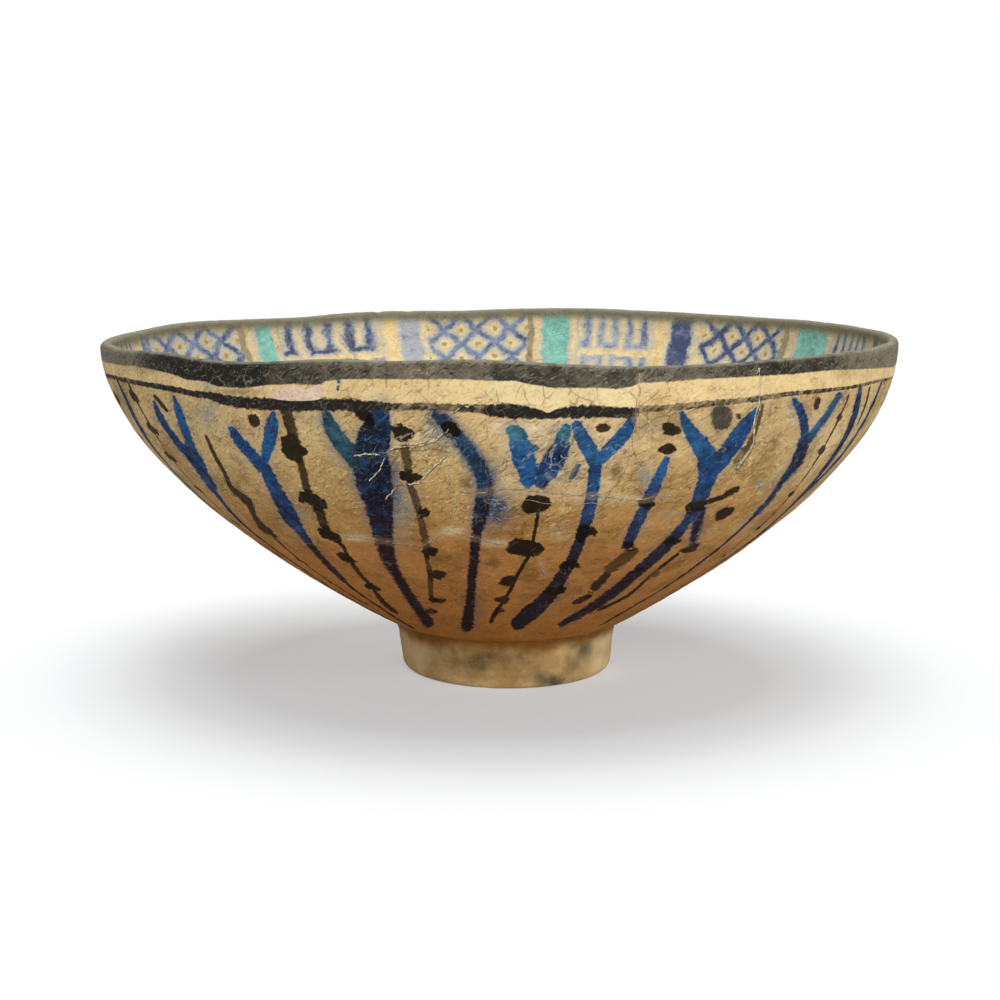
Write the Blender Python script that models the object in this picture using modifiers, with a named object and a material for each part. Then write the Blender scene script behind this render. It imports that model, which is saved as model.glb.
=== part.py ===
"""A footed stonepaste bowl, mended from its sherds, in metres with +Z up.

The bowl was thrown, given a separate foot ring, painted and glazed. It broke in use or in the
ground and was put together again, so what comes apart on a bench is the foot ring, the base,
seven sherds of the wall and a small plaster fill below the rim.
The origin lies under the middle of the rim, on the surface that the foot stands on, and the
front of the bowl faces -Y.
"""

from math import cos, pi, radians, sin

import bmesh
import bpy
from mathutils import Matrix, Vector
from mathutils.geometry import interpolate_bezier

# Sizes of the turned bowl
RIM_HEIGHT = 0.0902
WIDEST_RADIUS = 0.1032
WALL = 0.0048
LIP = 0.0028
LIP_TAPER = 0.0160
BELLY_FULLNESS = 0.0370
FLOOR = 0.0066
FOOT_HEIGHT = 0.0125
FOOT_TOP_RADIUS = 0.0294
FOOT_BOTTOM_RADIUS = 0.0280
FOOT_WIDTH = 0.0068
FOOT_EDGE = 0.0016
FOOT_LEAN = 0.0024

# Thickness of the adhesive film between two mended pieces
JOIN_GAP = 0.0003

# Facets of the turned shapes
TURN_STEPS = 80
WALL_STEPS = 13
LIP_STEPS = 6

# The break round the base: its usual distance from the axis, and each corner of it as an angle in
# degrees from the front with a multiple of that distance
BREAK_RADIUS = 0.0800
BASE_BREAK = {
    "left_root": (-41, 0.93),
    "left_notch": (-22, 1.01),
    "front_step": (-6, 1.01),
    "front_root": (-2, 1.13),
    "panel_root": (14, 1.12),
    "front_notch": (25, 1.10),
    "right_root": (34, 1.04),
    "right_notch": (62, 0.95),
    "right_tooth": (95, 1.04),
    "right_dip": (120, 0.96),
    "back_root": (141, 0.96),
    "back_tooth": (174, 1.05),
    "splinter_root": (206, 0.99),
    "splinter_end": (228, 0.91),
    "left_tooth": (262, 1.02),
    "left_dip": (294, 0.93),
}

# Each break that runs from the base to the rim: its root, and its angle half way and at the rim
RIM_BREAKS = (
    ("left_root", -38.9, -38.4),
    ("front_root", -1.8, -1.1),
    ("panel_root", 16.4, 16.2),
    ("right_root", 34.2, 32.8),
    ("back_root", 138.6, 137.7),
    ("splinter_root", 209.4, 208.6),
    ("splinter_end", 225.8, 226.7),
)
SHERD_NAMES = (
    "front_left_sherd",
    "restored_panel",
    "front_right_sherd",
    "right_sherd",
    "back_sherd",
    "back_splinter",
    "left_sherd",
)

# The plaster fill in a shallow chip of the front left sherd
FILL_ANGLE = -24.5
FILL_BELOW_RIM = 0.0068
FILL_WIDTH = 0.0124
FILL_HEIGHT = 0.0046
FILL_DEPTH = 0.0016

# Colour, roughness and metallic value of each kind of material
GLAZED_BODY = ((0.43, 0.27, 0.13), 0.35, 0.0)
RESTORED_BODY = ((0.52, 0.36, 0.18), 0.45, 0.0)
BARE_BODY = ((0.40, 0.29, 0.15), 0.85, 0.0)
PLASTER = ((0.58, 0.36, 0.26), 0.90, 0.0)


def clear_scene():
    """Remove every object of the opened file."""
    for obj in list(bpy.data.objects):
        bpy.data.objects.remove(obj, do_unlink=True)


def new_collection(name):
    """Make a collection in the scene."""
    collection = bpy.data.collections.new(name)
    bpy.context.scene.collection.children.link(collection)
    return collection


def new_object(name, mesh, collection):
    """Put a mesh in the scene as a named object."""
    obj = bpy.data.objects.new(name, mesh)
    collection.objects.link(obj)
    return obj


def paint(obj, name, finish):
    """Give an object a plain material."""
    colour, roughness, metallic = finish
    material = bpy.data.materials.new(name)
    material.use_nodes = True
    shader = material.node_tree.nodes["Principled BSDF"]
    shader.inputs["Base Color"].default_value = (*colour, 1.0)
    shader.inputs["Roughness"].default_value = roughness
    shader.inputs["Metallic"].default_value = metallic
    obj.data.materials.clear()
    obj.data.materials.append(material)


def as_mesh(obj):
    """Turn an object into a welded mesh with its modifiers applied, and remove the object."""
    bpy.context.view_layer.update()
    evaluated = obj.evaluated_get(bpy.context.evaluated_depsgraph_get())
    mesh = bpy.data.meshes.new_from_object(evaluated)
    mesh.transform(obj.matrix_world)
    bpy.data.objects.remove(obj, do_unlink=True)
    work = bmesh.new()
    work.from_mesh(mesh)
    bmesh.ops.remove_doubles(work, verts=work.verts, dist=0.00001)
    work.to_mesh(mesh)
    work.free()
    return mesh


def lean():
    """The tilt of the wheel work: the foot stands off the middle of the rim."""
    shear = Matrix.Shear("XY", 4, (-FOOT_LEAN / RIM_HEIGHT, 0.0))
    return Matrix.Translation((FOOT_LEAN, 0.0, 0.0)) @ shear


def turned(profile, closed):
    """Turn a profile of (radius, height) points about the leaning axis."""
    work = bmesh.new()
    verts = [work.verts.new((radius, 0.0, height)) for radius, height in profile]
    for first, second in zip(verts, verts[1:]):
        work.edges.new((first, second))
    if closed:
        work.edges.new((verts[-1], verts[0]))
    mesh = bpy.data.meshes.new("profile")
    work.to_mesh(mesh)
    work.free()
    obj = new_object("profile", mesh, bpy.context.scene.collection)
    screw = obj.modifiers.new("turn", "SCREW")
    screw.steps = TURN_STEPS
    screw.render_steps = TURN_STEPS
    screw.use_merge_vertices = True
    screw.merge_threshold = 0.00001
    solid = as_mesh(obj)
    solid.transform(lean())
    solid.shade_smooth()
    solid.set_sharp_from_angle(angle=radians(40))
    return solid


def outer_wall():
    """Points down the outside of the wall, from the lip to the foot, each with its tangent."""
    lip_height = RIM_HEIGHT - LIP / 2
    top = Vector((WIDEST_RADIUS, lip_height, 0.0))
    bottom = Vector((FOOT_TOP_RADIUS, FOOT_HEIGHT, 0.0))
    points = interpolate_bezier(top, top - Vector((0.0, BELLY_FULLNESS, 0.0)), bottom, bottom, WALL_STEPS)
    tangents = []
    for index in range(len(points)):
        after = points[min(index + 1, len(points) - 1)]
        before = points[max(index - 1, 0)]
        tangents.append((after - before).normalized())
    tangents[0] = Vector((0.0, -1.0, 0.0))
    return list(zip(points, tangents))


def wall_at(height):
    """The wall's thickness at a height: it thins towards the lip."""
    depth = RIM_HEIGHT - LIP / 2 - height
    return LIP + (WALL - LIP) * min(depth / LIP_TAPER, 1.0)


def bowl_profile():
    """The bowl from the middle of its floor, up the inside, over the lip and down the outside."""
    floor_height = FOOT_HEIGHT + FLOOR
    wall = outer_wall()
    inside = [point + wall_at(point.y) * Vector((tangent.y, -tangent.x, 0.0)) for point, tangent in wall]
    inside = [point for point in inside if point.y > floor_height + WALL / 4]
    lip_radius = WIDEST_RADIUS - LIP / 2
    lip_height = RIM_HEIGHT - LIP / 2
    profile = [(0.0, floor_height), (FOOT_TOP_RADIUS, floor_height)]
    profile += [(point.x, point.y) for point in reversed(inside)]
    for step in range(1, LIP_STEPS):
        turn = pi * step / LIP_STEPS
        profile.append((lip_radius - cos(turn) * LIP / 2, lip_height + sin(turn) * LIP / 2))
    profile += [(point.x, point.y) for point, _ in wall]
    profile.append((0.0, FOOT_HEIGHT))
    return profile


def foot_profile():
    """The foot ring's section: slightly narrower at the bottom, with a worn lower edge."""
    top = FOOT_HEIGHT - JOIN_GAP
    inner = FOOT_BOTTOM_RADIUS - FOOT_WIDTH
    return [
        (FOOT_TOP_RADIUS, top),
        (FOOT_BOTTOM_RADIUS, FOOT_EDGE),
        (FOOT_BOTTOM_RADIUS - FOOT_EDGE / 3, FOOT_EDGE / 3),
        (FOOT_BOTTOM_RADIUS - FOOT_EDGE, 0.0),
        (inner + FOOT_EDGE, 0.0),
        (inner, FOOT_EDGE),
        (inner, top),
    ]


def plan_point(angle, radius, shift=0.0):
    """A point of the plan, moved sideways by a distance measured along its circle."""
    turn = radians(angle) + shift / radius
    return Vector((radius * sin(turn), -radius * cos(turn), 0.0))


def flat_cutter(name, outline, thickness, collection, place):
    """A prism of a flat outline, centred on its own plane and put in its place."""
    curve = bpy.data.curves.new(name, "CURVE")
    curve.dimensions = "2D"
    curve.fill_mode = "BOTH"
    curve.extrude = thickness / 2
    spline = curve.splines.new("POLY")
    spline.points.add(len(outline) - 1)
    for point, corner in zip(spline.points, outline):
        point.co = (corner.x, corner.y, 0.0, 1.0)
    spline.use_cyclic_u = True
    obj = new_object(name + "_curve", curve, collection)
    obj.matrix_world = place
    cutter = new_object(name, as_mesh(obj), collection)
    cutter.hide_render = True
    cutter.display_type = "WIRE"
    return cutter


def boolean(obj, cutter, operation):
    """Cut an object with a cutter."""
    modifier = obj.modifiers.new(operation.lower(), "BOOLEAN")
    modifier.operation = operation
    modifier.object = cutter


def break_corner(name):
    """A corner of the break round the base, as its angle and its distance from the axis."""
    angle, share = BASE_BREAK[name]
    return angle, share * BREAK_RADIUS


def base_outline():
    """The base in plan, half a join inside its break."""
    corners = [break_corner(name) for name in BASE_BREAK]
    return [plan_point(angle, radius - JOIN_GAP / 2) for angle, radius in corners]


def sherd_outline(index):
    """One wall sherd in plan: out along one break, past the rim, and back along the next."""
    root_names = list(BASE_BREAK)
    first = RIM_BREAKS[index]
    second = RIM_BREAKS[(index + 1) % len(RIM_BREAKS)]
    outline = []
    for (root, half_way, rim), shift in ((first, JOIN_GAP / 2), (second, -JOIN_GAP / 2)):
        angle, radius = break_corner(root)
        half_radius = (radius + WIDEST_RADIUS) / 2
        beyond = 1.6 * WIDEST_RADIUS
        side = [
            plan_point(angle, radius + JOIN_GAP / 2, shift),
            plan_point(half_way, half_radius, shift),
            plan_point(rim, WIDEST_RADIUS, shift),
            plan_point(rim, beyond, shift),
        ]
        if shift > 0:
            outline += side
            span = (second[2] - rim) % 360
            outline += [plan_point(rim + span * part / 4, beyond) for part in (1, 2, 3)]
        else:
            outline += reversed(side)
    between = root_names.index(second[0]) - 1
    while root_names[between] != first[0]:
        angle, radius = break_corner(root_names[between])
        outline.append(plan_point(angle, radius + JOIN_GAP / 2))
        between -= 1
    return outline


def fill_outline(margin):
    """The chip's rounded outline, made smaller by a margin."""
    half_width = FILL_WIDTH / 2 - margin
    half_height = FILL_HEIGHT / 2 - margin
    corner_width = half_width * 0.62
    corner_height = half_height * 0.45
    return [
        Vector((half_width, corner_height, 0.0)),
        Vector((corner_width, half_height, 0.0)),
        Vector((-corner_width, half_height, 0.0)),
        Vector((-half_width, corner_height, 0.0)),
        Vector((-half_width, -corner_height, 0.0)),
        Vector((-corner_width, -half_height, 0.0)),
        Vector((corner_width, -half_height, 0.0)),
        Vector((half_width, -corner_height, 0.0)),
    ]


def fill_place(depth):
    """Where a prism stands that reaches a depth into the wall at the chip."""
    centre = WIDEST_RADIUS - depth + FILL_WIDTH / 2
    spot = plan_point(FILL_ANGLE, centre) + Vector((0.0, 0.0, RIM_HEIGHT - FILL_BELOW_RIM))
    upright = Matrix.Rotation(radians(FILL_ANGLE), 4, "Z") @ Matrix.Rotation(pi / 2, 4, "X")
    return Matrix.Translation(spot) @ upright


def build():
    """Make every piece of the bowl."""
    clear_scene()
    pieces = new_collection("mended_bowl")
    cutters = new_collection("cutters")
    whole = turned(bowl_profile(), closed=False)
    flat = Matrix.Translation((0.0, 0.0, RIM_HEIGHT / 2))
    height = 2 * RIM_HEIGHT

    foot = new_object("foot_ring", turned(foot_profile(), closed=True), pieces)
    paint(foot, "bare_stonepaste", BARE_BODY)

    base = new_object("base", whole.copy(), pieces)
    boolean(base, flat_cutter("base_plan", base_outline(), height, cutters, flat), "INTERSECT")
    paint(base, "glazed_stonepaste_base", GLAZED_BODY)

    for index, name in enumerate(SHERD_NAMES):
        sherd = new_object(name, whole.copy(), pieces)
        plan = flat_cutter(name + "_plan", sherd_outline(index), height, cutters, flat)
        boolean(sherd, plan, "INTERSECT")
        finish = RESTORED_BODY if name == "restored_panel" else GLAZED_BODY
        paint(sherd, "glazed_stonepaste_" + name, finish)

    chip = flat_cutter("chip", fill_outline(0.0), FILL_WIDTH, cutters, fill_place(FILL_DEPTH))
    boolean(bpy.data.objects["front_left_sherd"], chip, "DIFFERENCE")
    fill = new_object("plaster_fill", whole.copy(), pieces)
    shape = flat_cutter(
        "fill_shape", fill_outline(JOIN_GAP), FILL_WIDTH, cutters, fill_place(FILL_DEPTH - JOIN_GAP)
    )
    boolean(fill, shape, "INTERSECT")
    paint(fill, "pink_plaster", PLASTER)


build()
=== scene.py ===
"""Looks of the mended stonepaste bowl: its sherds, its brush painting, its glaze and its bare foot.

Lengths are millimetres until a mesh is made. Pixels are those of the 1000 by 1000 photograph.
Angles are degrees round the bowl from its front, -Y, towards +X.
"""
from functools import partial
from math import cos, pi, radians, sin

import bmesh
import bpy
import numpy as np
from mathutils import Matrix, Vector


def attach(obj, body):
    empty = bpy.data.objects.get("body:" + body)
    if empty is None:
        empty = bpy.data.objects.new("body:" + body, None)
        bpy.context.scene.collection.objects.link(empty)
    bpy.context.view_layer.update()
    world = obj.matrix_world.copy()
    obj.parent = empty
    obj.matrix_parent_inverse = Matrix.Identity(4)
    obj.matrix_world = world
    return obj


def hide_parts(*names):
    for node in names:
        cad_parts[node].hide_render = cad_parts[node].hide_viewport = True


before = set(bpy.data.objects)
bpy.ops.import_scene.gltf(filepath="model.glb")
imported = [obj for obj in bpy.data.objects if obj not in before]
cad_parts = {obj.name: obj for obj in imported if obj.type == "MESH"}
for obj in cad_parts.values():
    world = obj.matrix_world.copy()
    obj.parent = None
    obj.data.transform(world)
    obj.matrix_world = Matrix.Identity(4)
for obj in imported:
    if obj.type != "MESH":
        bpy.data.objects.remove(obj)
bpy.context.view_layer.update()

MM = 0.001

# The turned bowl, as the solids have it
RIM_HEIGHT = 90.2
WIDEST_RADIUS = 103.2
WALL = 4.8
LIP = 2.8
LIP_TAPER = 16.0
BELLY_FULLNESS = 37.0
FLOOR = 6.6
FOOT_HEIGHT = 12.5
FOOT_TOP_RADIUS = 29.4
FOOT_BOTTOM_RADIUS = 28.0
FOOT_WIDTH = 6.8
FOOT_LEAN = 2.4
BREAK_RADIUS = 80.0

# The photograph's camera: where it stands, how it looks down and turns, and its focal length
PHOTO_SIZE = 1000
CAMERA_PLACE = (0.36, -450.0, 120.1)
CAMERA_PITCH = 0.1655
CAMERA_ROLL = 0.0046
FOCAL_PIXELS = 1690.0
SENSOR = 36.0
# Where along a ray from the camera the wall is looked for: from, to and step
RAY_DEPTHS = (300.0, 470.0, 0.25)
# Pixels to a millimetre on the front of the wall
PER_MM = 4.6

# Fineness of the meshes, the width of the joins that show, and how their edges are rounded
SHERD_CELL = 0.52
BASE_CELL = 0.68
INSIDE_CELL = 0.85
FRONT_REACH = 76.0
FRONT_STEP = 0.5
BACK_STEP = 0.9
FOOT_COLUMNS = 300
FLOOR_ROWS = 25
UNDER_ROWS = 6
LIP_ROWS = 8
CLOSE_STEPS = (0.12, 0.28)
JOIN = 0.03
EDGE_DROP = 0.03
EDGE_REACH = 0.22

# The foot's cove and worn edge, the floor's rounded corner and the bedding of the fill
COVE_REACH = 2.6
COVE_DEPTH = 3.6
EDGE_WEAR = 2.6
FLOOR_CORNER = 9.0
CORNER_REACH = 6.0
FILL_BED = 0.2

# The unseen side: its strokes from, to and every so many degrees, where it lies, and what it carries
HIDDEN_ROUND = (71.0, 290.0, 9.1)
HIDDEN_SIDE = (70, 290)
STRING_TOP = 77
HIDDEN_PATCHES = {"dirt": 14, "pale": 12, "glint": 18, "grey_blue": 8}
HIDDEN_CRACKS = 14

# How fast a patch fades and a tint gives way to the next, and how far past its own box a mark is looked for:
# in pixels, and the last one in millimetres
PATCH_FALL = 0.9
TINT_BLEND = 2.0
STROKE_REACH = 30
STRING_REACH = 16
MARK_REACH = 24
FAR = 6.0

# The stage, in metres: the table, its glow by the distance from two middles, the lamps and the room
TABLE_REACH = 3.0
TABLE_WHITE = (0.80, 0.85, 0.90, 1.0)
ROUND_BOWL = (0.0, -0.0086, 0.0)
ROUND_BOWL_SHAPE = (1.0, 0.82, 1.0)
ROUND_BOWL_GLOW = (0.070, 0.142, 0.305, 1.0)
BESIDE_FOOT = (-0.016, 0.038, 0.0)
BESIDE_FOOT_GLOW = (0.027, 0.075, 0.155, 0.0)
LAMP_AIM = (0.0, 0.0, 0.05)
LAMPS = {"overhead_softbox": ((0.0, 0.0, 0.95), 0.55, 6.5), "right_softbox": ((0.40, -1.05, 0.65), 0.6, 8.2)}
ROOM_LIGHT = 0.30

# The shine of glaze and body, how many metres higher the base is stained, and how that falls off to the right
SHEEN = 0.05
STAIN_LIFT = 0.0045
STAIN_SLANT = 0.14

# The break round the base: angle and multiple of BREAK_RADIUS
BASE_BREAK = {
    "left_root": (-41, 0.93),
    "left_notch": (-22, 1.01),
    "front_step": (-6, 1.01),
    "front_root": (-2, 1.13),
    "panel_root": (14, 1.12),
    "front_notch": (25, 1.10),
    "right_root": (34, 1.04),
    "right_notch": (62, 0.95),
    "right_tooth": (95, 1.04),
    "right_dip": (120, 0.96),
    "back_root": (141, 0.96),
    "back_tooth": (174, 1.05),
    "splinter_root": (206, 0.99),
    "splinter_end": (228, 0.91),
    "left_tooth": (262, 1.02),
    "left_dip": (294, 0.93),
}
# The breaks up to the rim: the root, the angle half way and at the rim, and the sherd that follows
RIM_BREAKS = (
    ("left_root", -38.9, -38.4, "front_left_sherd"),
    ("front_root", -1.8, -1.1, "restored_panel"),
    ("panel_root", 16.4, 16.2, "front_right_sherd"),
    ("right_root", 34.2, 32.8, "right_sherd"),
    ("back_root", 138.6, 137.7, "back_sherd"),
    ("splinter_root", 209.4, 208.6, "back_splinter"),
    ("splinter_end", 225.8, 226.7, "left_sherd"),
)
# How ragged the level break is in millimetres and the upright ones in degrees, and the small chips of the lip
LEVEL_RAG = 0.35
UPRIGHT_RAG = 0.22
CHIP_DEPTH = 0.22
CHIP_FROM = 0.9
# How far each piece stands proud of the others in the mend
PROUD = {"restored_panel": -0.14, "front_right_sherd": 0.07, "back_splinter": 0.12, "back_sherd": -0.05}

# The plaster fill: its outline in pixels, its depth, and how many pixels inside it the chip begins
FILL_OUTLINE = (
    (271, 393), (281, 388), (295, 386), (307, 389), (320, 384), (324, 391), (320, 399), (297, 401),
    (276, 399),
)
FILL_DEPTH = 1.3
FILL_INSET = 1.2

# The rim's waves: angle and rise
RIM_WAVES = (
    (-180, 0.6), (-172, 0.0), (-160, 0.1), (-150, -0.3), (-142, -1.0), (-130, -0.9), (-120, -0.6),
    (-110, -0.9), (-98, -1.5), (-85, -1.5), (-70, -1.2), (-59, -1.0), (-47, -0.4), (-39, -1.1),
    (-33, -1.0), (-26, -0.2), (-19, 0.5), (-12, 0.7), (-4, 1.0), (3, 0.6), (9, 0.0), (17, -0.5),
    (25, -0.5), (33, -0.3), (42, 0.0), (55, 0.1), (75, 0.3), (100, 0.5), (120, 0.6), (132, 0.5),
    (142, 0.6), (152, 0.9), (162, 1.2), (171, 1.0), (180, 0.6),
)

# Lower edge of the dark rim band, in pixels
RIM_BAND_EDGE = (
    (106, 362), (135, 366), (154, 370), (173, 374), (190, 380), (205, 381), (218, 386), (243, 388),
    (269, 385), (292, 384), (320, 385), (327, 381), (340, 379), (450, 379), (489, 381), (515, 381),
    (528, 384), (553, 388), (600, 388), (617, 389), (630, 387), (639, 383), (662, 382), (700, 379),
    (759, 376), (794, 374), (834, 370), (867, 369), (892, 367),
)
# How worn the rim band is along one row of pixels: pixel and share
RIM_ROW = 372.0
RIM_WEAR = (
    (106, 1.0), (130, 0.7), (155, 0.15), (205, -0.1), (250, -0.05), (275, 0.3), (330, 0.4), (420, 0.55),
    (486, 0.55), (496, 0.25), (550, 0.3), (590, 0.4), (635, 0.35), (645, 0.5), (700, 0.45), (760, 0.2),
    (830, 0.25), (850, 0.6), (892, 0.9),
)
# The black line under the cream band: pixels of its middle, its thickness and how worn it is
BLACK_LINE = (
    (106, 374, 5, 0.5), (128, 380, 6, 0.5), (145, 384, 6, 0.3), (173, 389, 7, 0.3), (192, 393, 7, 0.2),
    (207, 395, 8, 0.1), (220, 398, 11, 0.0), (235, 401, 13, 0.0), (265, 404, 14, 0.0), (300, 405, 14, 0.1),
    (340, 404, 13, 0.1), (358, 406, 13, 0.0), (378, 406, 9, 0.3), (400, 407, 8, 0.5), (420, 407, 8, 0.6),
    (438, 407, 7, 0.6), (460, 408, 8, 0.5), (480, 409, 8, 0.3), (488, 411, 12, 0.0), (500, 411, 15, 0.0),
    (515, 412, 15, 0.0), (530, 413, 13, 0.0), (548, 416, 7, 0.0), (560, 413, 11, 0.0), (575, 412, 14, 0.0),
    (600, 412, 13, 0.0), (620, 413, 11, 0.0), (637, 412, 11, 0.1), (641, 409, 7, 0.8), (662, 408, 7, 0.8),
    (688, 406, 7, 0.8), (713, 403, 7, 0.7), (735, 401, 6, 0.7), (760, 398, 6, 0.6), (787, 394, 5, 0.6),
    (820, 391, 5, 0.6), (847, 388, 4, 0.6), (874, 382, 4, 0.7), (892, 377, 3, 0.8),
)

# From this angle on nothing of the rim is seen: how far under the lip the band and the line lie there,
# the line's width, and the wear of both
SEEN_EDGE = 115.0
BAND_BEHIND = 3.4
LINE_BEHIND = 8.2
LINE_WIDTH_BEHIND = 1.5
LINE_WEAR_BEHIND = 0.3
RIM_WEAR_BEHIND = 0.4

# Blue brush strokes of the seen side: darkness, share of turquoise, softness, and pixels with widths
BLUE_STROKES = {
    "left_arm_b": (0.5, 0.0, 0.2, ((154, 402, 4), (161, 418, 6), (171, 434, 6), (183, 449, 8))),
    "right_arm_b": (0.2, 0.0, 0.2, (
        (174, 397, 3), (178, 410, 8), (183, 424, 9), (189, 440, 8), (192, 449, 9),
    )),
    "stem_b": (0.6, 0.0, 0.25, ((188, 449, 13), (196, 460, 13), (206, 477, 9), (214, 489, 7))),
    "left_arm_c": (0.3, 0.0, 0.2, ((231, 429, 7), (241, 443, 11), (253, 456, 11), (262, 468, 10))),
    "right_leaf_c": (0.2, 0.0, 0.2, (
        (273, 414, 5), (272, 425, 13), (270, 437, 14), (267, 450, 12), (265, 460, 8), (264, 468, 8),
    )),
    "stem_c": (0.5, 0.0, 0.25, (
        (264, 466, 9), (268, 474, 12), (273, 485, 13), (281, 500, 14), (290, 516, 15), (300, 530, 9),
        (314, 549, 6), (329, 566, 5), (344, 580, 5),
    )),
    "left_arm_e": (0.95, 0.32, 0.5, (
        (326, 414, 8), (331, 427, 15), (339, 440, 17), (349, 452, 17), (358, 464, 16),
    )),
    "right_arm_e": (0.75, 0.05, 0.35, ((380, 410, 16), (378, 424, 27), (374, 438, 33), (371, 452, 36))),
    "stem_e": (0.9, 0.0, 0.6, (
        (370, 456, 35), (372, 470, 38), (375, 485, 35), (378, 500, 30), (381, 520, 24), (384, 540, 19),
        (388, 556, 15), (394, 570, 11), (402, 584, 10), (411, 598, 10), (420, 611, 10), (428, 622, 12),
    )),
    "arch_g": (0.75, 0.1, 0.85, (
        (435, 413, 8), (444, 421, 13), (453, 430, 14), (462, 442, 15), (472, 456, 16), (480, 469, 17),
        (485, 482, 17),
    )),
    "stem_g": (0.95, 0.0, 0.5, (
        (485, 486, 17), (484, 497, 17), (481, 511, 15), (478, 526, 12), (476, 538, 11), (475, 550, 10),
        (474, 562, 10), (472, 576, 9), (471, 590, 9), (470, 604, 10), (468, 618, 12), (467, 626, 12),
    )),
    "left_cap_h": (0.3, 0.8, 0.3, ((512, 430, 11), (517, 434, 17), (519, 438, 18))),
    "left_arm_h": (0.1, 0.0, 0.3, ((519, 443, 20), (523, 456, 23), (527, 469, 21), (528, 481, 15))),
    "splash_h": (0.6, 0.4, 0.2, ((526, 440, 5), (532, 447, 6), (539, 449, 3))),
    "right_cap_h": (0.3, 0.75, 0.3, ((566, 429, 10), (563, 438, 15))),
    "right_arm_h": (0.5, 0.0, 0.35, (
        (562, 445, 17), (557, 455, 21), (551, 465, 22), (545, 475, 18), (541, 483, 13),
    )),
    "left_arm_i": (0.25, 0.1, 0.2, ((577, 426, 11), (582, 437, 15), (589, 449, 16), (595, 460, 16))),
    "right_arm_i": (0.2, 0.0, 0.2, (
        (632, 417, 8), (627, 430, 13), (617, 442, 14), (606, 453, 13), (598, 461, 12),
    )),
    "stem_i": (0.4, 0.0, 0.25, (
        (595, 464, 13), (594, 480, 13), (592, 497, 13), (589, 510, 13), (586, 522, 12), (580, 540, 11),
        (575, 553, 11), (567, 568, 11), (559, 581, 13), (550, 594, 14), (540, 605, 15), (528, 615, 16),
        (518, 623, 14),
    )),
    "speck_i": (0.5, 0.2, 0.2, ((578, 466, 5), (575, 472, 6), (570, 479, 4))),
    "dash_j": (0.2, 0.0, 0.2, (
        (667, 459, 6), (662, 470, 10), (657, 481, 11), (652, 492, 12), (646, 504, 12), (640, 517, 11),
        (634, 530, 11), (628, 543, 11),
    )),
    "left_arm_k": (0.35, 0.1, 0.3, (
        (682, 414, 5), (685, 421, 9), (690, 431, 13), (699, 443, 18), (707, 455, 20),
    )),
    "right_arm_k": (0.35, 0.0, 0.2, (
        (757, 410, 5), (749, 420, 11), (737, 438, 17), (726, 454, 16), (716, 465, 18),
    )),
    "stem_k": (0.45, 0.0, 0.25, (
        (709, 461, 24), (708, 474, 19), (704, 487, 16), (700, 498, 15), (695, 508, 13), (688, 520, 9),
        (678, 533, 10), (666, 546, 11), (650, 561, 11), (636, 573, 10), (620, 587, 10), (600, 602, 9),
        (580, 614, 8), (560, 625, 5),
    )),
    "round_k": (1.1, 0.35, 0.3, ((721, 414, 17), (722, 421, 18))),
    "fork_k": (0.8, 0.0, 0.7, ((701, 508, 10), (697, 524, 10), (693, 541, 7))),
    "left_arm_l": (0.5, 0.0, 0.3, ((794, 400, 5), (800, 410, 9), (804, 422, 9), (805, 438, 9))),
    "right_arm_l": (0.45, 0.2, 0.3, ((840, 394, 5), (830, 410, 7), (820, 424, 7), (808, 440, 8))),
    "stem_l": (0.85, 0.0, 0.3, (
        (805, 438, 10), (800, 454, 12), (793, 468, 9), (782, 482, 6), (770, 499, 5), (756, 514, 5),
    )),
    "tick": (0.2, 0.0, 0.15, ((339, 379, 2), (339, 385, 3), (338, 390, 2))),
}
# Black strings of the seen side: how thin the black is, and pixels with widths
BLACK_STRINGS = {
    "mark_b": (0.3, ((155, 396, 4), (161, 404, 4), (167, 411, 3))),
    "string_c": (0.32, (
        (206, 436, 3), (215, 456, 4), (224, 472, 4), (231, 487, 5), (240, 495, 8), (249, 503, 8),
        (255, 517, 5), (262, 527, 7), (270, 532, 6),
    )),
    "string_d": (0.35, (
        (286, 408, 13), (289, 420, 12), (293, 435, 12), (299, 460, 8), (304, 475, 8), (307, 490, 8),
        (318, 508, 10), (323, 522, 9), (330, 535, 7), (342, 545, 4), (349, 558, 4), (360, 574, 4),
        (372, 587, 3), (383, 602, 5), (397, 613, 3),
    )),
    "string_f": (0.5, (
        (405, 449, 11), (408, 468, 9), (410, 484, 7), (417, 503, 8), (421, 520, 7), (426, 545, 8),
        (427, 560, 5), (430, 574, 6), (431, 596, 5), (434, 601, 4),
    )),
    "string_h": (0.2, ((538, 512, 4), (536, 525, 4), (533, 540, 4))),
    "string_h_low": (0.2, (
        (529, 556, 4), (518, 574, 4), (511, 589, 4), (502, 603, 4), (496, 612, 5), (491, 621, 4),
    )),
    "twig_h": (0.4, ((496, 612, 3), (503, 611, 3))),
    "string_k": (0.25, (
        (678, 554, 3), (660, 568, 3), (648, 578, 3), (630, 594, 3), (612, 604, 3), (598, 610, 3),
    )),
    "dash_j": (0.5, ((635, 551, 8), (622, 560, 11), (609, 569, 10))),
    "dash_j_low": (0.3, ((607, 575, 7), (599, 583, 9), (593, 588, 7))),
    "dash_j_end": (0.3, ((589, 596, 6), (581, 600, 6), (574, 603, 4))),
    "smudge_k": (0.7, ((741, 454, 6), (736, 462, 7))),
    "edge_k": (0.5, ((763, 405, 3), (760, 416, 4), (756, 430, 4), (750, 442, 5), (742, 454, 7))),
    "link_k": (0.35, ((694, 506, 6), (704, 503, 6), (713, 500, 5), (722, 497, 5))),
    "blot_e": (0.1, ((357, 410, 9), (365, 416, 12), (371, 423, 8))),
}
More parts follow.
